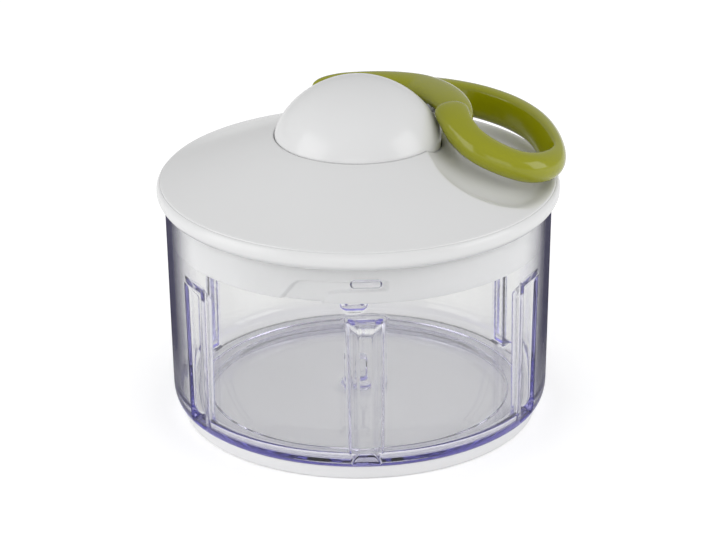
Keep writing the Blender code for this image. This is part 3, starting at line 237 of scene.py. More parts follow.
def rounded(corners, steps=3):
    """Outline in metres through (radius, height[, fillet]) corners in millimetres."""
    points = []
    for index, (radius, height, *fillet) in enumerate(corners):
        here = Vector((radius, height))
        if not fillet:
            points.append(here)
            continue
        into = Vector(corners[index - 1][:2]) - here
        out = Vector(corners[(index + 1) % len(corners)][:2]) - here
        size = min(fillet[0], into.length * 0.45, out.length * 0.45)
        start = here + into.normalized() * size
        end = here + out.normalized() * size
        for step in range(steps + 1):
            share = step / steps
            points.append(start.lerp(here, share).lerp(here.lerp(end, share), share))
    return [(point.x * MM, point.y * MM) for point in points]


def turned(name, outline, steps, on_axis=False):
    """A round piece: a circle bent to the outline and spun once round the upright axis."""
    free_selection()
    bpy.ops.mesh.primitive_circle_add(vertices=len(outline), fill_type="NOTHING")
    piece = bpy.context.object
    piece.name = name
    piece.data.name = name
    write_points(piece, [(radius, 0.0, height) for radius, height in outline])
    if on_axis:
        bpy.ops.object.mode_set(mode="EDIT")
        bpy.ops.mesh.select_mode(type="EDGE")
        bpy.ops.mesh.select_all(action="DESELECT")
        bpy.ops.object.mode_set(mode="OBJECT")
        ends = {0, len(outline) - 1}
        for edge in piece.data.edges:
            edge.select = set(edge.vertices) == ends
        bpy.ops.object.mode_set(mode="EDIT")
        bpy.ops.mesh.delete(type="EDGE")
        bpy.ops.mesh.select_mode(type="VERT")
    else:
        bpy.ops.object.mode_set(mode="EDIT")
    bpy.ops.mesh.select_all(action="SELECT")
    bpy.ops.mesh.spin(steps=steps, angle=math.tau, center=(0.0, 0.0, 0.0), axis=(0.0, 0.0, 1.0))
    bpy.ops.mesh.select_all(action="SELECT")
    bpy.ops.mesh.remove_doubles(threshold=0.001 * MM)
    bpy.ops.mesh.normals_make_consistent(inside=False)
    bpy.ops.object.mode_set(mode="OBJECT")
    bpy.ops.object.shade_smooth()
    return piece


def lofted(name, rings, closed=False, round_length=None):
    """A skin over rings of points: a grid whose rows are laid on the rings and sewn round."""
    rings = [np.asarray(ring) for ring in rings]
    if closed:
        rings.append(rings[0])
    rows = [np.vstack([ring, ring[:1]]) for ring in rings]
    free_selection()
    bpy.ops.mesh.primitive_grid_add(x_subdivisions=len(rows[0]) - 1, y_subdivisions=len(rows) - 1)
    piece = bpy.context.object
    piece.name = name
    piece.data.name = name
    write_points(piece, np.vstack(rows))
    if round_length is not None:
        for loop in piece.data.uv_layers.active.data:
            loop.uv[1] *= round_length
    bpy.ops.object.mode_set(mode="EDIT")
    bpy.ops.mesh.select_all(action="SELECT")
    bpy.ops.mesh.remove_doubles(threshold=0.002 * MM)
    bpy.ops.mesh.normals_make_consistent(inside=False)
    bpy.ops.object.mode_set(mode="OBJECT")
    bpy.ops.object.shade_smooth()
    return piece


def bore(piece, middle, radius, depth, vertices, rotation=(0.0, 0.0, 0.0)):
    """Take a round hole out of a solid piece."""
    free_selection()
    bpy.ops.mesh.primitive_cylinder_add(vertices=vertices, radius=radius, depth=depth, location=middle,
                                        rotation=rotation)
    tool = bpy.context.object
    pick(piece)
    modifier = piece.modifiers.new("hole", "BOOLEAN")
    modifier.operation = "DIFFERENCE"
    modifier.object = tool
    modifier.solver = "EXACT"
    bpy.ops.object.modifier_apply(modifier=modifier.name)
    bpy.data.objects.remove(tool)


def pull_place(along, across, height):
    """A point from its distances along and across the line of pull."""
    side = Vector((-PULL.y, PULL.x, 0.0))
    return PULL * along + side * across + Vector((0.0, 0.0, height))


def soft_min(a, b, blend):
    """The smaller of two values, with the corner between them rounded."""
    near = np.maximum(blend - np.abs(a - b), 0.0) / blend
    return np.minimum(a, b) - near * near * blend / 4


def soft_max(a, b, blend):
    """The larger of two values, with the corner between them rounded."""
    return -soft_min(-a, -b, blend)


def smooth_step(value):
    """0 below 0, 1 above 1 and a smooth rise between."""
    value = np.clip(value, 0.0, 1.0)
    return value * value * (3 - 2 * value)


def spline(points, count, closed=False):
    """Even samples of a smooth curve through rows of numbers."""
    points = np.asarray(points, float)
    spans = len(points) if closed else len(points) - 1
    place = spans * np.arange(count) / (count if closed else count - 1)
    span = np.minimum(place.astype(int), spans - 1)
    t = (place - span)[:, None]
    if closed:
        a, b, c, d = (points[(span + k) % len(points)] for k in (-1, 0, 1, 2))
    else:
        a, b, c, d = (points[np.clip(span + k, 0, len(points) - 1)] for k in (-1, 0, 1, 2))
    return 0.5 * (2 * b + (c - a) * t + (2 * a - 5 * b + 4 * c - d) * t * t
                  + (3 * b - a - 3 * c + d) * t ** 3)


# Tools for finishes

def maths(tree, operation, *terms):
    """A Math node in a shader's tree, fed with numbers and varying values."""
    node = tree.nodes.new("ShaderNodeMath")
    node.operation = operation
    for place, term in zip(node.inputs, terms):
        if isinstance(term, Value):
            tree.links.new(term.socket, place)
        else:
            place.default_value = term
    return Value(tree, node.outputs[0])


class Value:
    """A number that varies over a surface, so that shader maths reads as arithmetic."""

    def __init__(self, tree, socket):
        self.tree = tree
        self.socket = socket

    def __add__(self, other):
        return maths(self.tree, "ADD", self, other)

    def __radd__(self, other):
        return maths(self.tree, "ADD", other, self)

    def __sub__(self, other):
        return maths(self.tree, "SUBTRACT", self, other)

    def __rsub__(self, other):
        return maths(self.tree, "SUBTRACT", other, self)

    def __mul__(self, other):
        return maths(self.tree, "MULTIPLY", self, other)

    def __rmul__(self, other):
        return maths(self.tree, "MULTIPLY", other, self)


class Finish:
    """A surface finish under construction, on a Principled shader."""

    def __init__(self, name):
        self.material = bpy.data.materials.new(name)
        self.material.use_nodes = True
        self.tree = self.material.node_tree
        self.shader = self.tree.nodes["Principled BSDF"]
        self.output = self.tree.nodes["Material Output"]

    def feed(self, socket, value):
        """Set an input to a plain value, or link a varying one to it."""
        if isinstance(value, Value):
            self.tree.links.new(value.socket, socket)
        elif isinstance(value, bpy.types.NodeSocket):
            self.tree.links.new(value, socket)
        else:
            socket.default_value = value

    def node(self, kind, settings=None, inputs=None):
        """Any node: its type, its settings and the values or links of its inputs."""
        node = self.tree.nodes.new(kind)
        for name, value in (settings or {}).items():
            setattr(node, name, value)
        for name, value in (inputs or {}).items():
            self.feed(node.inputs[name], value)
        return node

    def place(self, kind="Object"):
        """The surface's own coordinates."""
        return self.node("ShaderNodeTexCoord").outputs[kind]

    def parts(self, kind="Object"):
        """The three numbers of the surface's own coordinates."""
        split = self.node("ShaderNodeSeparateXYZ", inputs={"Vector": self.place(kind)})
        return [Value(self.tree, output) for output in split.outputs]

    def noise(self, scale, detail=2.0, stretch=None):
        """Cloudy variation from 0 to 1, in lumps per metre."""
        where = self.place()
        if stretch is not None:
            where = self.node("ShaderNodeMapping", inputs={"Vector": where, "Scale": stretch}).outputs[0]
        node = self.node("ShaderNodeTexNoise", inputs={"Vector": where, "Scale": scale, "Detail": detail})
        return Value(self.tree, node.outputs[0])

    def smooth(self, value, low, high):
        """0 below low, 1 above high and a smooth rise between."""
        node = self.node("ShaderNodeMapRange", {"interpolation_type": "SMOOTHSTEP"},
                         {"Value": value, "From Min": low, "From Max": high})
        return Value(self.tree, node.outputs[0])

    def mix(self, factor, first, second):
        """One colour changing to another."""
        node = self.node("ShaderNodeMix", {"data_type": "RGBA"})
        self.feed(node.inputs[0], factor)
        for socket, colour in ((node.inputs[6], first), (node.inputs[7], second)):
            self.feed(socket, (*colour, 1.0) if isinstance(colour, tuple) and len(colour) == 3 else colour)
        return node.outputs[2]

    def between(self, factor, first, second):
        """One shader changing to another."""
        return self.node("ShaderNodeMixShader",
                         inputs={0: factor, 1: first.outputs[0], 2: second.outputs[0]})

    def surface(self, **values):
        """Set the shader's inputs by their names, with _ for a space."""
        for name, value in values.items():
            if isinstance(value, tuple) and len(value) == 3:
                value = (*value, 1.0)
            self.feed(self.shader.inputs[name.replace("_", " ")], value)

    def bump(self, height, distance):
        """Fine relief from a varying height."""
        node = self.node("ShaderNodeBump", inputs={"Distance": distance, "Height": height})
        self.feed(self.shader.inputs["Normal"], node.outputs[0])


def shaded(colour, share):
    """A colour made darker by a share."""
    return tuple(channel * (1 - share) for channel in colour)


def moulded(name, colour, roughness, grain=0.0, relief=0.0, coat=0.0, top=None):
    """Moulded plastic with faint flow marks, and if given, a fine grain and a paler painted-light colour on
    faces that look up.
    """
    finish = Finish(name)
    flow = finish.noise(28.0, 3.0)
    body = finish.mix(flow, colour, shaded(colour, 0.035))
    # Painted light: faces that look up take the paler top colour, standing in for the light that falls on
    # them.
    if top is not None:
        body = finish.mix(finish.smooth(finish.parts("Normal")[2], 0.5, 0.9), body, top)
    finish.surface(Base_Color=body, Roughness=roughness - 0.03 + 0.06 * flow, Coat_Weight=coat,
                   Coat_Roughness=0.08, IOR=1.5)
    if relief > 0.0:
        finish.bump(finish.noise(grain, 2.0), relief)
    return finish.material


def clear_plastic(name, tint, density, edge, corner_shade):
    """Clear plastic, violet in its depth, with painted violet shade on its lower corner and painted dark
    shade where upright walls turn away.
    """
    finish = Finish(name)
    wear = finish.noise(60.0, 3.0)
    finish.surface(Base_Color=(0.995, 1.0, 0.965), Roughness=0.01 + 0.012 * wear, IOR=1.57,
                   Transmission_Weight=1.0)
    finish.bump(finish.noise(900.0, 1.0), 0.000001)
    weight = finish.node("ShaderNodeLayerWeight", inputs={"Blend": 0.5})
    turned_away = finish.smooth(Value(finish.tree, weight.outputs["Facing"]), 0.52, 0.82)
    slope = finish.parts("Normal")[2]
    upright = 1.0 - finish.smooth(maths(finish.tree, "ABSOLUTE", slope), 0.15, 0.6)
    across, deep, height = finish.parts()
    radius = maths(finish.tree, "SQRT", across * across + deep * deep)
    front = 1.0 - Value(finish.tree, finish.node("ShaderNodeNewGeometry").outputs["Backfacing"])
    outside = finish.smooth(radius, 73.2 * MM, 74.6 * MM) * front
    under = 1.0 - finish.smooth(0.0 - slope, 0.85, 0.97)
    corner = finish.smooth(0.0 - slope, 0.25, 0.6) * under * front
    low = 1.0 - finish.smooth(height, 9.0 * MM, 12.0 * MM)
    # Painted shade: an opaque dark diffuse over the outer upright walls where they turn away, standing in
    # for the dark refraction at the bowl's edges.
    dark = finish.node("ShaderNodeBsdfDiffuse", inputs={"Color": (*edge, 1.0)})
    # Painted shade: a violet diffuse over the bowl's lower outer corner, partly the plastic's own violet
    # tint and partly painted shade standing in for the light lost in its thick corner.
    violet = finish.node("ShaderNodeBsdfDiffuse", inputs={"Color": (*corner_shade, 1.0)})
    through = finish.node("ShaderNodeBsdfTransparent", inputs={"Color": (1.0, 1.0, 1.0, 1.0)})
    edged = finish.between(turned_away * upright * outside * 0.95, finish.shader, dark)
    cornered = finish.between(corner * low * 0.45, edged, violet)
    shadow = finish.node("ShaderNodeLightPath").outputs["Is Shadow Ray"]
    finish.feed(finish.output.inputs["Surface"], finish.between(shadow, cornered, through).outputs[0])
    depth = finish.node("ShaderNodeVolumeAbsorption", inputs={"Color": (*tint, 1.0), "Density": density})
    finish.feed(finish.output.inputs["Volume"], depth.outputs[0])
    return finish.material


def metal(name, colour, roughness, lines):
    """Bare metal with fine turning marks round the upright axis."""
    finish = Finish(name)
    marks = finish.noise(lines, 2.0, (0.15, 0.15, 1.0))
    finish.surface(Base_Color=finish.mix(marks, colour, shaded(colour, 0.18)),
                   Roughness=roughness + 0.18 * marks, Metallic=1.0)
    finish.bump(marks, 0.00002)
    return finish.material


def braided(name, colour):
    """Braided cord: two sets of strands that cross, laid along the piece's own UV map."""
    finish = Finish(name)
    turn, length, _ = finish.parts("UV")
    around, along = turn * (math.tau * 4), length * (math.tau * 1.1)
    left = maths(finish.tree, "SINE", around + along)
    right = maths(finish.tree, "SINE", around - along)
    weave = maths(finish.tree, "MAXIMUM", left, right) * 0.5 + 0.5
    # Painted shade: the colour darkens by nearly half in the grooves between the strands.
    finish.surface(Base_Color=finish.mix(weave, shaded(colour, 0.45), colour), Roughness=0.75 + 0.1 * weave)
    finish.bump(weave, 0.00012)
    return finish.material


# Bowl

def wall_radius(height):
    """Outer radius of the bowl's wall above its corner."""
    return BOWL_FOOT + (BOWL_MOUTH - BOWL_FOOT) * (height - BOWL_CORNER_TOP) / (BOWL_TOP - BOWL_CORNER_TOP)


def bowl_outline():
    """Half section of the bowl, from under its middle round to the top of its pin."""
    outline = rounded([(0.0, 6.0), (20.0, 6.0), (40.0, 6.0), (59.0, 6.0, 0.3), (59.0, 3.4, 0.4),
                       (64.0, 3.4, 0.4), (64.0, 6.0, 0.3), (68.0, 6.0), (71.7, 6.0)])
    rows = [6.5, 6.65, 6.9, 7.25, 7.6, 8.0, 8.35, 8.7, 9.05, 9.5, 10.0, 10.5, 10.95, 11.25, 11.55, 12.0,
            12.5, 13.0, 14.0, 16.0, 20.0, 26.0, 33.0, 40.0, 47.0, 54.0, 58.5, 60.2, 60.8, 61.2, 61.6, 62.1,
            62.8, 63.6, 64.4, 65.2, 65.8, 66.3, 66.7, 67.0, 67.3, 67.7, 68.3, 70.0, 74.0, 78.0, 82.0, 86.0,
            89.0]
    for row in rows:
        height = row * MM
        if height < BOWL_CORNER_TOP:
            drop = (BOWL_CORNER_TOP - height) / BOWL_CORNER_DROP
            radius = BOWL_FOOT - BOWL_CORNER_REACH * (1 - math.sqrt(max(1 - drop * drop, 0.0)))
        else:
            radius = wall_radius(height)
        outline.append((radius, height))
    outline += rounded([(75.44, 90.0), (75.45, 90.6, 0.5), (73.05, 90.6, 0.5), (73.04, 90.0)])
    rows = [88.0, 86.0, 84.6, 84.1, 83.85, 83.6, 83.3, 82.9, 82.4, 81.8, 81.3, 80.95, 80.7, 80.4, 80.0,
            79.5, 78.0, 76.0, 73.0, 71.0, 70.0, 69.4, 68.9, 68.5, 68.1, 67.7, 67.1, 66.4, 65.6, 64.7, 63.9,
            63.3, 62.8, 62.4, 62.0, 61.6, 61.1, 60.4, 58.5, 54.0, 47.0, 40.0, 33.0, 26.0, 20.0, 17.0]
    outline += [(wall_radius(row * MM) - BOWL_WALL, row * MM) for row in rows]
    foot = BOWL_FLOOR_TOP + BOWL_FILLET
    inner = wall_radius(foot) - BOWL_WALL - BOWL_FILLET
    for step in range(13):
        angle = math.radians(-7.5 * step)
        outline.append((inner + BOWL_FILLET * math.cos(angle), foot + BOWL_FILLET * math.sin(angle)))
    outline += rounded([(60.0, 8.4), (48.0, 8.4), (30.0, 8.4), (14.0, 8.4), (7.0, 8.4, 0.8),
                        (7.0, 10.0, 0.5), (3.0, 10.0, 0.5), (3.0, 19.9, 0.8), (0.0, 19.9)])
    return outline


def channel_frame(points, count):
    """Each point's column in its channel's frame: across, radius, channel angle and if it's near one."""
    across = np.array([-x for x in CHANNEL_COLUMNS[:0:-1]] + CHANNEL_COLUMNS) * MM
    per_channel = len(across) + FREE_COLUMNS
    radius = np.hypot(points[:, 0], points[:, 1])
    column = np.round(np.arctan2(points[:, 1], points[:, 0]) / math.tau * count).astype(int) % count
    channel, place = column // per_channel, column % per_channel
    near = place < len(across)
    reach = np.maximum(radius, CHANNEL_GUARD)
    edge = np.arcsin(across[-1] / reach)
    free = (place - len(across) + 1) / (FREE_COLUMNS + 1)
    sector = math.tau / CHANNELS
    offset = np.where(near, np.arcsin(across[np.minimum(place, len(across) - 1)] / reach),
                      edge + free * (sector - 2 * edge))
    return radius * np.sin(offset), radius, offset, FIRST_CHANNEL + sector * channel, near


def bowl_shape(points, count, lug_depth):
    """Press the channels into the wall from outside, raise the ribs inside it and add the lugs."""
    across, radius, offset, angle, near = channel_frame(points, count)
    height = points[:, 2]
    depth = radius * np.cos(offset)
    aside = np.abs(across)
    outside = radius > np.where(height > BOWL_CORNER_TOP, wall_radius(height) - BOWL_WALL / 2,
                                BOWL_CORNER_INSIDE)
    side = CHANNEL_BED + (aside - CHANNEL_HALF_BED) * CHANNEL_SLOPE
    head = CHANNEL_BED + (height - CHANNEL_HEAD) * CHANNEL_HEAD_SLOPE
    foot = CHANNEL_BED + (CHANNEL_FOOT - height) * CHANNEL_FOOT_SLOPE
    groove = soft_max(soft_max(np.full_like(side, CHANNEL_BED), side, CHANNEL_SOFTNESS),
                      soft_max(head, foot, CHANNEL_SOFTNESS), CHANNEL_SOFTNESS)
    pressed = soft_min(depth, groove, CHANNEL_SOFTNESS)
    rib_side = RIB_CREST + (aside - RIB_HALF_CREST) * RIB_SLOPE
    rib_head = RIB_CREST + (height - RIB_HEAD) * RIB_HEAD_SLOPE
    rib = soft_max(soft_max(np.full_like(rib_side, RIB_CREST), rib_side, RIB_SOFTNESS), rib_head,
                   RIB_SOFTNESS)
    raised = soft_min(depth, rib, RIB_SOFTNESS)
    along = np.maximum(np.abs(across - LUG_OFFSET) - LUG_HALF_LENGTH + LUG_HALF_HEIGHT, 0.0)
    away = np.hypot(along, height - LUG_MIDDLE) - LUG_HALF_HEIGHT
    with_lug = np.round((angle - FIRST_CHANNEL) / (math.tau / CHANNELS)).astype(int) % 2 == 0
    raised -= lug_depth * smooth_step(0.5 - away / (2 * LUG_SOFTNESS)) * with_lug
    inside = ~outside & (height > BOWL_FLOOR_TOP - 0.01 * MM)
    depth = np.where(near & outside & (height > BOWL_UNDERSIDE + 1.5 * MM), pressed, depth)
    depth = np.where(near & inside, raised, depth)
    result = points.copy()
    result[:, 0] = depth * np.cos(angle) - across * np.sin(angle)
    result[:, 1] = depth * np.sin(angle) + across * np.cos(angle)
    return result


def build_bowl(finish, lug_depth):
    """Clear bowl in one piece, with its channels, ribs, lugs, foot ring and pin."""
    count = CHANNELS * (2 * len(CHANNEL_COLUMNS) - 1 + FREE_COLUMNS)
    bowl = turned("bowl_clear", bowl_outline(), count, on_axis=True)
    write_points(bowl, bowl_shape(read_points(bowl), count, lug_depth))
    bowl.data.materials.append(finish)
    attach(bowl, "bowl")
    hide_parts("bowl")


# Base

def build_base(finish, rubber):
    """Base lid with its rim and the ring that grips the table."""
    outline = rounded([(0.0, 0.0), (57.2, 0.0, 0.2), (57.2, 1.3, 0.2), (62.8, 1.3, 0.2), (62.8, 0.0, 0.2),
                       (70.0, 0.0, 1.0), (71.1, 5.7, 0.7), (64.3, 5.7, 0.5), (64.3, 3.1, 0.3),
                       (55.4, 3.1, 0.8), (53.6, 1.8, 0.8), (0.0, 1.8)])
    base = turned("base_dish", outline, 144, on_axis=True)
    base.data.materials.append(finish)
    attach(base, "base")
    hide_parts("base_lid")
    ring = turned("base_grip", rounded([(57.5, 0.0, 0.15), (62.5, 0.0, 0.15), (62.5, 1.0, 0.2),
                                        (57.5, 1.0, 0.2)]), 144)
    ring.data.materials.append(rubber)
    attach(ring, "base")
    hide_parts("base_grip_ring")


# Lid

def cone_height(radius):
    """Height of the lid's cone at a radius."""
    slope = (DOME_FOOT - CREASE_HEIGHT) / (CREASE_RADIUS - DOME_FOOT_RADIUS)
    return CREASE_HEIGHT + (CREASE_RADIUS - radius) * slope


def recess_depth(x, y):
    """How far the cone is pressed down under the handle."""
    along = x * math.cos(PULL_ANGLE) + y * math.sin(PULL_ANGLE)
    across = -x * math.sin(PULL_ANGLE) + y * math.cos(PULL_ANGLE)
    middle = (RECESS_NEAR + RECESS_FAR) / 2
    half_length = (RECESS_FAR - RECESS_NEAR) / 2
    dx = np.abs(along - middle) - (half_length - RECESS_CORNER)
    dy = np.abs(across) - (RECESS_HALF_WIDTH - RECESS_CORNER)
    outside = (np.hypot(np.maximum(dx, 0.0), np.maximum(dy, 0.0)) + np.minimum(np.maximum(dx, dy), 0.0)
               - RECESS_CORNER)
    inside = np.clip(-outside / RECESS_BLEND, 0.0, 1.0)
    fade = np.clip((CREASE_RADIUS - np.hypot(x, y)) / RECESS_FADE, 0.0, 1.0)
    return RECESS_DEPTH * inside * (2 - inside) * smooth_step(fade)


def build_cover(finish):
    """Lid cover: the cone with its recess, the rim with its crease line, and the hollow under it."""
    neck = DOME_FOOT_RADIUS + GAP
    rings = 64
    outline = []
    for index in range(rings + 1):
        radius = neck + (CREASE_RADIUS - 0.22 * MM - neck) * index / rings
        outline.append((radius, cone_height(radius)))
    outline[0] = (neck + 0.1 * MM, cone_height(neck) - 0.05 * MM)
    outline.insert(0, (neck, cone_height(neck) - 0.3 * MM))
    outline += [(76.86 * MM, 96.4 * MM), (76.92 * MM, 96.22 * MM), (76.99 * MM, 96.06 * MM),
                (77.06 * MM, 96.02 * MM)]
    for step in range(18):
        angle = math.radians(68.0 - step * 120.0 / 17)
        outline.append((76.3 * MM + 2.2 * MM * math.cos(angle), 93.0 * MM + 3.3 * MM * math.sin(angle)))
    outline += rounded([(77.1, 89.6), (76.4, 89.0, 0.3), (75.9, 89.4, 0.2), (75.9, 92.7, 0.3),
                        (72.9, 92.7, 0.3)])
    for index in range(17):
        radius = 72.9 * MM + (neck + 2.0 * MM - 72.9 * MM) * index / 16
        outline.append((radius, cone_height(radius) - COVER_WALL))
    outline += [(neck + 2.0 * MM, 106.0 * MM), (neck, 106.0 * MM)]
    cover = turned("lid_shell", outline, 400)
    points = read_points(cover)
    radius = np.hypot(points[:, 0], points[:, 1])
    neck_foot = (points[:, 2] < 106.3 * MM) & (radius < neck + 2.3 * MM)
    pressed = (points[:, 2] > 93.0 * MM) & (radius < CREASE_RADIUS) & ~neck_foot
    points[:, 2] -= np.where(pressed, recess_depth(points[:, 0], points[:, 1]), 0.0)
    write_points(cover, points)
    cover.data.materials.append(finish)
    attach(cover, "lid")
    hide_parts("lid_cover")


def crowned(radius, height):
    """A point of the dome with its top raised to the crown."""
    return radius, height + DOME_CROWN * ((height - DOME_CENTRE) / DOME_RISE) ** DOME_CROWN_POWER


def build_dome(finish):
    """Dome cap over the drive."""
    foot = math.asin((DOME_FOOT - DOME_CENTRE) / DOME_RISE)
    outline = rounded([(DOME_FOOT_RADIUS / MM - 2.2, 107.0, 0.2), (DOME_FOOT_RADIUS / MM, 107.0, 0.2)])
    for step in range(41):
        angle = foot + (math.pi / 2 - foot) * step / 40
        outline.append(crowned(DOME_RADIUS * math.cos(angle), DOME_CENTRE + DOME_RISE * math.sin(angle)))
    outline[-1] = (0.0, outline[-1][1])
    outline += rounded([(0.0, 128.6), (5.3, 128.6), (5.3, 125.9), (9.0, 125.9, 0.2)])
    inner_end = math.acos(9.0 * MM / (DOME_RADIUS - DOME_WALL))
    for step in range(25):
        angle = inner_end + (foot - inner_end) * step / 24
        outline.append(crowned((DOME_RADIUS - DOME_WALL) * math.cos(angle),
                               DOME_CENTRE + (DOME_RISE - DOME_WALL) * math.sin(angle)))
    dome = turned("dome_shell", outline, 144)
    bore(dome, pull_place(DOME_FOOT_RADIUS, 0.0, CORD_HEIGHT), GUIDE_HOLE, 20.0 * MM, 32, ALONG_PULL)
    dome.data.materials.append(finish)
    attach(dome, "lid")
    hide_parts("dome_cap")


def distance_to_outline(x, y, corners):
    """Signed distance of points to a closed outline, negative inside."""
    nearest = np.full(x.shape, np.inf)
    inside = np.zeros(x.shape, bool)
    for (ax, ay), (bx, by) in zip(corners, corners[1:] + corners[:1]):
        ex, ey = bx - ax, by - ay
        share = np.clip(((x - ax) * ex + (y - ay) * ey) / (ex * ex + ey * ey), 0.0, 1.0)
        nearest = np.minimum(nearest, np.hypot(x - ax - share * ex, y - ay - share * ey))
        crosses = (ay > y) != (by > y)
        slope = ex / ey if ey else 0.0
        inside ^= crosses & (x < ax + (y - ay) * slope)
    return np.where(inside, -nearest, nearest)


def build_carrier(finish):
    """Lid carrier: the skirt with its three bayonet tracks, the plate and the tower."""
    bottom = SKIRT_BOTTOM / MM
    rows = [bottom + 0.5 + 0.35 * index for index in range(26)] + [85.0, 87.0, 90.0]
    outline = rounded([(8.0, 77.7, 0.3), (68.7, 77.7, 0.3), (70.2, bottom, 0.3), (72.3, bottom, 0.35)])
    outline += [(SKIRT_RADIUS, row * MM) for row in rows]
    outline += rounded([(72.3, 92.1, 0.3), (70.2, 92.1, 0.3), (70.2, 79.9, 0.5), (13.5, 79.9, 0.5),
                        (11.5, 82.9, 0.5), (10.5, 100.8, 0.3), (8.0, 100.8, 0.3)])
    carrier = turned("lid_skirt", outline, 720)
    points = read_points(carrier)
    radius = np.hypot(points[:, 0], points[:, 1])
    azimuth = np.degrees(np.arctan2(points[:, 1], points[:, 0]))
    scale = math.radians(1.0) * SKIRT_RADIUS / MM
    corners = [(angle * scale, height) for angle, height in TRACK_OUTLINE]
    cut = np.zeros(len(points))
    for turn in range(3):
        local = (azimuth - 120.0 * turn + 180.0) % 360.0 - 180.0
        away = distance_to_outline(local * scale, points[:, 2] / MM, corners) * MM
        cut = np.maximum(cut, smooth_step(0.5 - away / (2 * TRACK_EDGE)))
    outer = (radius > SKIRT_RADIUS - 0.5 * MM) & (points[:, 2] < 86.0 * MM)
    scale = np.where(outer, 1 - cut * TRACK_DEPTH / np.maximum(radius, MM), 1.0)
    points[:, :2] *= scale[:, None]
    write_points(carrier, points)
    carrier.data.materials.append(finish)
    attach(carrier, "lid")
    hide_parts("lid_carrier")


# Handle

def handle_section(half, over, under, ridge, lean):
    """Closed section of the handle as rows of (outwards, upwards), evenly spaced and softened."""
    start = math.acos(max(ridge / half, -1.0))
    angle = np.linspace(start, WALL_FOOT, 60)
    up = np.where(np.sin(angle) > 0, over, under) * np.sin(angle)
    out = half * np.cos(angle) + lean * up * np.maximum(np.cos(angle), 0.0)
    line = np.column_stack([out, up])
    line = np.vstack([line, line[:1]])
    lengths = np.concatenate([[0.0], np.cumsum(np.hypot(*np.diff(line, axis=0).T))])
    even = np.linspace(0.0, lengths[-1], SECTION_POINTS, endpoint=False)
    section = np.column_stack([np.interp(even, lengths, line[:, k]) for k in (0, 1)])
    for _ in range(2):
        section = section * 0.5 + 0.25 * (np.roll(section, 1, axis=0) + np.roll(section, -1, axis=0))
    return section


def handle_bar(name, route, stations, closed):
    """A bar of the handle along its route over the cone."""
    rows = []
    for angle, place, *sizes, lean in route:
        radius = DOME_RADIUS + (LID_RADIUS - DOME_RADIUS) * place
        rows.append((radius * math.cos(math.radians(angle)), radius * math.sin(math.radians(angle)),
                     *(size * MM for size in sizes), lean))
    samples = spline(rows, stations, closed)
    rings = []
    for index, (x, y, *shape) in enumerate(samples):
        before = samples[index - 1] if closed else samples[max(index - 1, 0)]
        after = samples[(index + 1) % stations] if closed else samples[min(index + 1, stations - 1)]
        along = Vector((after[0] - before[0], after[1] - before[1], 0.0)).normalized()
        across = np.array((along.y, -along.x, 0.0))
        height = cone_height(math.hypot(x, y)) + HANDLE_RISE + HANDLE_TWIST * x * y
        centre = np.array((x, y, height))
        section = handle_section(*shape)
        rings.append(centre + section[:, :1] * across + section[:, 1:] * np.array((0.0, 0.0, 1.0)))
    if not closed:
        tip, end = rings[0], rings[-1]
        rings = [np.repeat(tip.mean(0)[None], len(tip), axis=0)] + rings
        rings.append(np.repeat(end.mean(0)[None], len(end), axis=0))
    return lofted(name, rings, closed)


def build_handle(finish):
    """Loop handle with its tail, grown into one skin, and the pocket for the cord's knot."""
    bars = [handle_bar("handle_loop", LOOP_BAR, LOOP_STATIONS, True),
            handle_bar("handle_tail", TAIL_BAR, BAR_STATIONS, False),
            handle_bar("handle_strand", STRAND_BAR, BAR_STATIONS, False),
            handle_bar("handle_shoulder", SHOULDER_BAR, BAR_STATIONS, False)]
    handle = bars[0]
    pick(handle)
    for bar in bars:
        bar.select_set(True)
    bpy.ops.object.join()
    skin = handle.modifiers.new("skin", "REMESH")
    skin.mode = "VOXEL"
    skin.voxel_size = SKIN_DETAIL
    bpy.ops.object.modifier_apply(modifier=skin.name)
    soft = handle.modifiers.new("soft", "SMOOTH")
    soft.factor = 0.5
    soft.iterations = SKIN_SMOOTHING
    bpy.ops.object.modifier_apply(modifier=soft.name)
    bore(handle, pull_place(KNOT_REACH, 0.0, CORD_HEIGHT - 4.5 * MM), KNOT_RADIUS + 2 * GAP, 15.0 * MM, 32)
    bore(handle, pull_place(KNOT_REACH - 7.0 * MM, 0.0, CORD_HEIGHT), CORD_DIAMETER / 2 + GAP, 14.0 * MM,
         24, ALONG_PULL)
    pick(handle)
    bpy.ops.object.shade_smooth_by_angle(angle=math.radians(35.0))
    handle.data.materials.clear()
    handle.data.materials.append(finish)
    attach(handle, "handle")
    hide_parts("handle")


# Cord

def cord_tube(name, points, radius):
    """A round tube along points, with its length in cord diameters on its UV map."""
    points = [Vector(point) for point in points]
    rings = []
    length = 0.0
    for index, point in enumerate(points):
        along = (points[min(index + 1, len(points) - 1)] - points[max(index - 1, 0)]).normalized()
        side = along.cross(Vector((0.0, 0.0, 1.0))).normalized()
        up = side.cross(along)
        length += (point - points[max(index - 1, 0)]).length
        rings.append([point + radius * (math.cos(a) * side + math.sin(a) * up)
                      for a in (math.tau * k / 12 for k in range(12))])
    rings.insert(0, [points[0]] * 12)
    rings.append([points[-1]] * 12)
    return lofted(name, [np.array(ring) for ring in rings], round_length=length / (2 * radius))


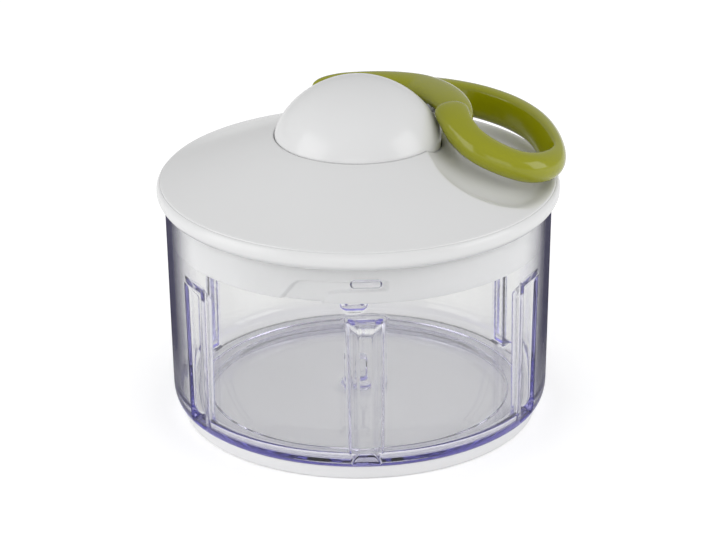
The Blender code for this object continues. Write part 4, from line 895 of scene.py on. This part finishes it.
def build_cord(finish, diameter):
    """Cord: turns on the spool, the lead to the eyelet, the stretch to the handle, and its knot."""
    lapped = WOUND_RADIUS + diameter + GAP
    corner = GUIDE_INNER - diameter
    leave = math.acos(lapped / corner)
    turns = []
    count = int(WOUND_TURNS * 60)
    for index in range(count + 1):
        share = index / count
        angle = leave + math.tau * WOUND_TURNS * (1 - share)
        turns.append(pull_place(WOUND_RADIUS * math.cos(angle), WOUND_RADIUS * math.sin(angle),
                                WOUND_FIRST + WOUND_PITCH * WOUND_TURNS * share))
    winding = cord_tube("cord_turns", turns, diameter / 2)
    winding.data.materials.append(finish)
    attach(winding, "spool")
    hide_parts("cord_winding")
    top = WOUND_FIRST + WOUND_PITCH * WOUND_TURNS
    plan = [(lapped * math.cos(leave + a), lapped * math.sin(leave + a))
            for a in np.radians([20, 15, 10, 5, 0])]
    tangent, turning = Vector(plan[-1]), Vector((corner, 0.0))
    bend = tangent.lerp(turning, 0.55)
    plan.append(tuple(tangent.lerp(bend, 0.5)))
    for share in np.linspace(0.0, 1.0, 10):
        second = turning.lerp(Vector((corner + 2.3 * MM, 0.0)), share)
        plan.append(tuple(bend.lerp(turning, share).lerp(second, share)))
    plan += [(26.5 * MM, 0.0), (GUIDE_OUTER, 0.0)]
    route = [pull_place(x, y, top + (CORD_HEIGHT - top) * index / (len(plan) - 1))
             for index, (x, y) in enumerate(plan)]
    lead = cord_tube("cord_lead", route, diameter / 2)
    lead.data.materials.append(finish)
    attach(lead, "lid")
    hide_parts("cord_run")
    route = [pull_place(GUIDE_OUTER - 0.4 * MM + 6.0 * MM * k / 60, 0.0, CORD_HEIGHT) for k in range(61)]
    stretch = cord_tube("cord_stretch", route, diameter / 2 - 0.02 * MM)
    stretch.data.materials.append(finish)
    pull_place(GUIDE_OUTER - 0.3 * MM, 0.0, CORD_HEIGHT)
    pull_place(GUIDE_OUTER + 5.4 * MM, 0.0, CORD_HEIGHT)
    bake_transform(stretch)
    knot = knot_shape(diameter)
    knot.data.materials.append(finish)
    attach(knot, "handle")
    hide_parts("cord_knot")


def knot_shape(diameter):
    """Overhand knot: the cord looped through itself, drawn small."""
    t = np.linspace(0.15, math.tau - 0.15, 90)
    size = (KNOT_RADIUS - diameter / 2) / 3.0
    loop = size * np.column_stack([np.sin(t) + 2 * np.sin(2 * t), np.cos(t) - 2 * np.cos(2 * t),
                                   -np.sin(3 * t)])
    points = [pull_place(KNOT_REACH + y, x, CORD_HEIGHT + z) for x, y, z in loop]
    return cord_tube("cord_end_knot", points, diameter / 2 * 0.72)


# Drive, kept from the frame with finer finishes

def dress(names, finish):
    """Give frame nodes a finish of their own."""
    for name in names:
        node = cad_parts[name]
        node.data.materials.clear()
        node.data.materials.append(finish)


# Stage

def build_stage(scene):
    """White floor that keeps the shadow, soft lamps and the camera."""
    scene.view_settings.view_transform = "Standard"
    scene.cycles.use_denoising = True
    scene.cycles.max_bounces = GLASS_BOUNCES
    scene.cycles.transmission_bounces = GLASS_BOUNCES
    scene.cycles.glossy_bounces = GLASS_BOUNCES
    floor_finish = Finish("studio floor")
    floor_finish.tree.nodes.remove(floor_finish.shader)
    plain = floor_finish.node("ShaderNodeBsdfDiffuse", inputs={"Color": (0.93, 0.93, 0.93, 1.0)})
    path = floor_finish.node("ShaderNodeLightPath")
    seen = Value(floor_finish.tree, path.outputs["Is Camera Ray"])
    lift = floor_finish.node("ShaderNodeEmission", inputs={"Strength": seen * FLOOR_LIFT})
    both = floor_finish.node("ShaderNodeAddShader", inputs={0: plain.outputs[0], 1: lift.outputs[0]})
    floor_finish.feed(floor_finish.output.inputs["Surface"], both.outputs[0])
    free_selection()
    bpy.ops.mesh.primitive_plane_add(size=FLOOR_SIZE)
    floor = bpy.context.object
    floor.name = "studio_floor"
    floor.data.materials.append(floor_finish.material)

    world = bpy.data.worlds.new("studio")
    world.use_nodes = True
    scene.world = world
    tree, nodes = world.node_tree, world.node_tree.nodes
    sky = nodes["Background"]
    sky.inputs["Color"].default_value = (1.0, 1.0, 1.0, 1.0)
    path = nodes.new("ShaderNodeLightPath")
    split = nodes.new("ShaderNodeSeparateXYZ")
    tree.links.new(nodes.new("ShaderNodeTexCoord").outputs["Generated"], split.inputs[0])
    rise = maths(tree, "MAXIMUM", Value(tree, split.outputs[2]) * SKY_RISE, 0.0)
    rise = maths(tree, "MINIMUM", rise, 1.0)
    seen, glass, gloss = (Value(tree, path.outputs["Is %s Ray" % kind])
                          for kind in ("Camera", "Transmission", "Glossy"))
    light = SKY_LOW + (SKY_HIGH - SKY_LOW) * rise
    light = light + gloss * (GLOSS_LOW + (GLOSS_HIGH - GLOSS_LOW) * rise - light)
    light = light + glass * (GLASS_LOW + (GLASS_HIGH - GLASS_LOW) * rise - light)
    tree.links.new((light + seen * (1 - light)).socket, sky.inputs["Strength"])

    for name, place, size, power in LAMPS:
        lamp = bpy.data.lights.new(name, "AREA")
        lamp.size = size
        lamp.energy = power
        holder = bpy.data.objects.new(name, lamp)
        scene.collection.objects.link(holder)
        aim = LAMP_AIM - Vector(place)
        holder.matrix_world = Matrix.Translation(place) @ aim.to_track_quat("-Z", "Y").to_matrix().to_4x4()

    eye = bpy.data.cameras.new("photo_camera")
    eye.lens = CAMERA_LENS
    eye.sensor_width = 36.0
    eye.shift_x = CAMERA_SHIFT
    eye.clip_start = 0.01
    camera = bpy.data.objects.new("photo_camera", eye)
    scene.collection.objects.link(camera)
    camera.matrix_world = (Matrix.Translation(CAMERA_PLACE) @ Matrix.Rotation(CAMERA_PITCH, 4, "X")
                           @ Matrix.Rotation(CAMERA_ROLL, 4, "Z"))
    scene.camera = camera


# Add-on

class ChopperSettings(bpy.types.PropertyGroup):
    """Sizes and colours that a user would change."""

    lid_colour: bpy.props.FloatVectorProperty(
        name="Lid", description="Colour of the lid cover and dome", default=(0.665, 0.667, 0.67),
        subtype="COLOR", min=0.0, max=1.0)
    # Painted light: the skirt is a brighter copy of the lid's white plastic, standing in for the light it
    # gets through the bowl's wall.
    skirt_painted_lit_colour: bpy.props.FloatVectorProperty(
        name="Skirt", description="Colour of the lid carrier behind the bowl's wall",
        default=(0.94, 0.943, 0.945), subtype="COLOR", min=0.0, max=1.0)
    base_colour: bpy.props.FloatVectorProperty(
        name="Base", description="Colour of the base lid", default=(0.75, 0.75, 0.755), subtype="COLOR",
        min=0.0, max=1.0)
    handle_colour: bpy.props.FloatVectorProperty(
        name="Handle", description="Colour of the handle", default=(0.255, 0.262, 0.0008), subtype="COLOR",
        min=0.0, max=1.0)
    cord_colour: bpy.props.FloatVectorProperty(
        name="Cord", description="Colour of the pull cord", default=(0.66, 0.66, 0.67), subtype="COLOR",
        min=0.0, max=1.0)
    bowl_tint: bpy.props.FloatVectorProperty(
        name="Bowl tint", description="Tint that deepens inside the bowl's plastic",
        default=(0.36, 0.31, 0.86), subtype="COLOR", min=0.0, max=1.0)
    bowl_edge: bpy.props.FloatVectorProperty(
        name="Bowl edge", description="Shade of the bowl's walls where they turn away",
        default=(0.03, 0.028, 0.06), subtype="COLOR", min=0.0, max=1.0)
    bowl_corner: bpy.props.FloatVectorProperty(
        name="Bowl corner", description="Shade of the bowl's lower corner", default=(0.11, 0.09, 0.32),
        subtype="COLOR", min=0.0, max=1.0)
    tint_density: bpy.props.FloatProperty(
        name="Tint density", description="Strength of the bowl's tint per metre", default=18.0, min=0.0)
    cord_diameter: bpy.props.FloatProperty(
        name="Cord diameter", description="Thickness of the pull cord", default=CORD_DIAMETER,
        unit="LENGTH", min=0.5 * MM, max=2.0 * MM)
    lug_depth: bpy.props.FloatProperty(
        name="Lug depth", description="How far the bayonet lugs stand out of the bowl's wall",
        default=LUG_DEPTH, unit="LENGTH", min=0.2 * MM, max=1.3 * MM)


class CHOPPER_OT_bowl(bpy.types.Operator):
    """Build the clear bowl with its channels, ribs, lugs, foot ring and pin"""

    bl_idname = "chopper.bowl"
    bl_label = "Bowl"

    def execute(self, context):
        settings = context.scene.chopper
        build_bowl(clear_plastic("clear plastic", tuple(settings.bowl_tint), settings.tint_density,
                                 tuple(settings.bowl_edge), tuple(settings.bowl_corner)),
                   settings.lug_depth)
        return {"FINISHED"}


class CHOPPER_OT_base(bpy.types.Operator):
    """Build the base lid and the ring that grips the table"""

    bl_idname = "chopper.base"
    bl_label = "Base"

    def execute(self, context):
        colour = tuple(context.scene.chopper.base_colour)
        # Painted light: the base's up-facing faces are painted paler, standing in for light reaching them
        # through the bowl's floor.
        build_base(moulded("soft white", colour, 0.35, top=(0.97, 0.97, 0.965)),
                   moulded("grey rubber", (0.30, 0.31, 0.32), 0.75, 1500.0, 0.00004))
        return {"FINISHED"}


class CHOPPER_OT_lid(bpy.types.Operator):
    """Build the lid cover, the dome cap and the carrier with its bayonet tracks"""

    bl_idname = "chopper.lid"
    bl_label = "Lid"

    def execute(self, context):
        settings = context.scene.chopper
        white = moulded("white plastic", tuple(settings.lid_colour), 0.25, coat=0.15)
        build_cover(white)
        build_dome(white)
        # Painted light: the carrier takes the brighter skirt colour of the same white plastic.
        build_carrier(moulded("carrier plastic painted lighter", tuple(settings.skirt_painted_lit_colour), 0.32))
        return {"FINISHED"}


class CHOPPER_OT_handle(bpy.types.Operator):
    """Build the loop handle with its tail"""

    bl_idname = "chopper.handle"
    bl_label = "Handle"

    def execute(self, context):
        green = moulded("green plastic", tuple(context.scene.chopper.handle_colour), 0.16, coat=0.15)
        build_handle(green)
        dress(["knot_plug"], green)
        return {"FINISHED"}


class CHOPPER_OT_cord(bpy.types.Operator):
    """Build the pull cord: turns, lead, the stretch to the handle, and the end knot"""

    bl_idname = "chopper.cord"
    bl_label = "Cord"

    def execute(self, context):
        settings = context.scene.chopper
        build_cord(braided("cord", tuple(settings.cord_colour)), settings.cord_diameter)
        return {"FINISHED"}


class CHOPPER_OT_drive(bpy.types.Operator):
    """Finish the parts of the drive and the seal"""

    bl_idname = "chopper.drive"
    bl_label = "Drive"

    def execute(self, context):
        dress(["spool", "drive_shaft", "ratchet_wheel", "cord_guide", "spring_arbor"],
              moulded("grey plastic", (0.26, 0.27, 0.29), 0.42, 1100.0, 0.00002))
        dress(["carrier_screw_1", "carrier_screw_2", "carrier_screw_3", "clutch_plate", "pawl_1", "pawl_2",
               "thrust_washer", "shaft_clip", "recoil_spring"],
              metal("steel", (0.56, 0.56, 0.58), 0.22, 900.0))
        dress(["lower_bush", "upper_bush"], metal("bronze", (0.50, 0.31, 0.13), 0.38, 1400.0))
        dress(["lid_seal"], moulded("clear silicone", (0.70, 0.71, 0.73), 0.48, 900.0, 0.00001))
        return {"FINISHED"}


class CHOPPER_OT_stage(bpy.types.Operator):
    """Build the floor, the lamps and the camera"""

    bl_idname = "chopper.stage"
    bl_label = "Stage"

    def execute(self, context):
        build_stage(context.scene)
        return {"FINISHED"}


OPERATORS = (CHOPPER_OT_bowl, CHOPPER_OT_base, CHOPPER_OT_lid, CHOPPER_OT_handle, CHOPPER_OT_cord,
             CHOPPER_OT_drive, CHOPPER_OT_stage)


class CHOPPER_PT_sidebar(bpy.types.Panel):
    """The chopper's settings and building steps"""

    bl_idname = "CHOPPER_PT_sidebar"
    bl_label = "Pull Cord Chopper"
    bl_space_type = "VIEW_3D"
    bl_region_type = "UI"
    bl_category = "Chopper"

    def draw(self, context):
        settings = context.scene.chopper
        for name in ChopperSettings.__annotations__:
            self.layout.prop(settings, name)
        for operator in OPERATORS:
            self.layout.operator(operator.bl_idname)


CLASSES = (ChopperSettings, *OPERATORS, CHOPPER_PT_sidebar)


def register():
    for cls in CLASSES:
        bpy.utils.register_class(cls)
    bpy.types.Scene.chopper = bpy.props.PointerProperty(type=ChopperSettings)


def unregister():
    del bpy.types.Scene.chopper
    for cls in reversed(CLASSES):
        bpy.utils.unregister_class(cls)


def main():
    register()
    bpy.ops.chopper.bowl()
    bpy.ops.chopper.base()
    bpy.ops.chopper.lid()
    bpy.ops.chopper.handle()
    bpy.ops.chopper.cord()
    bpy.ops.chopper.drive()
    bpy.ops.chopper.stage()


if __name__ == "__main__":
    main()
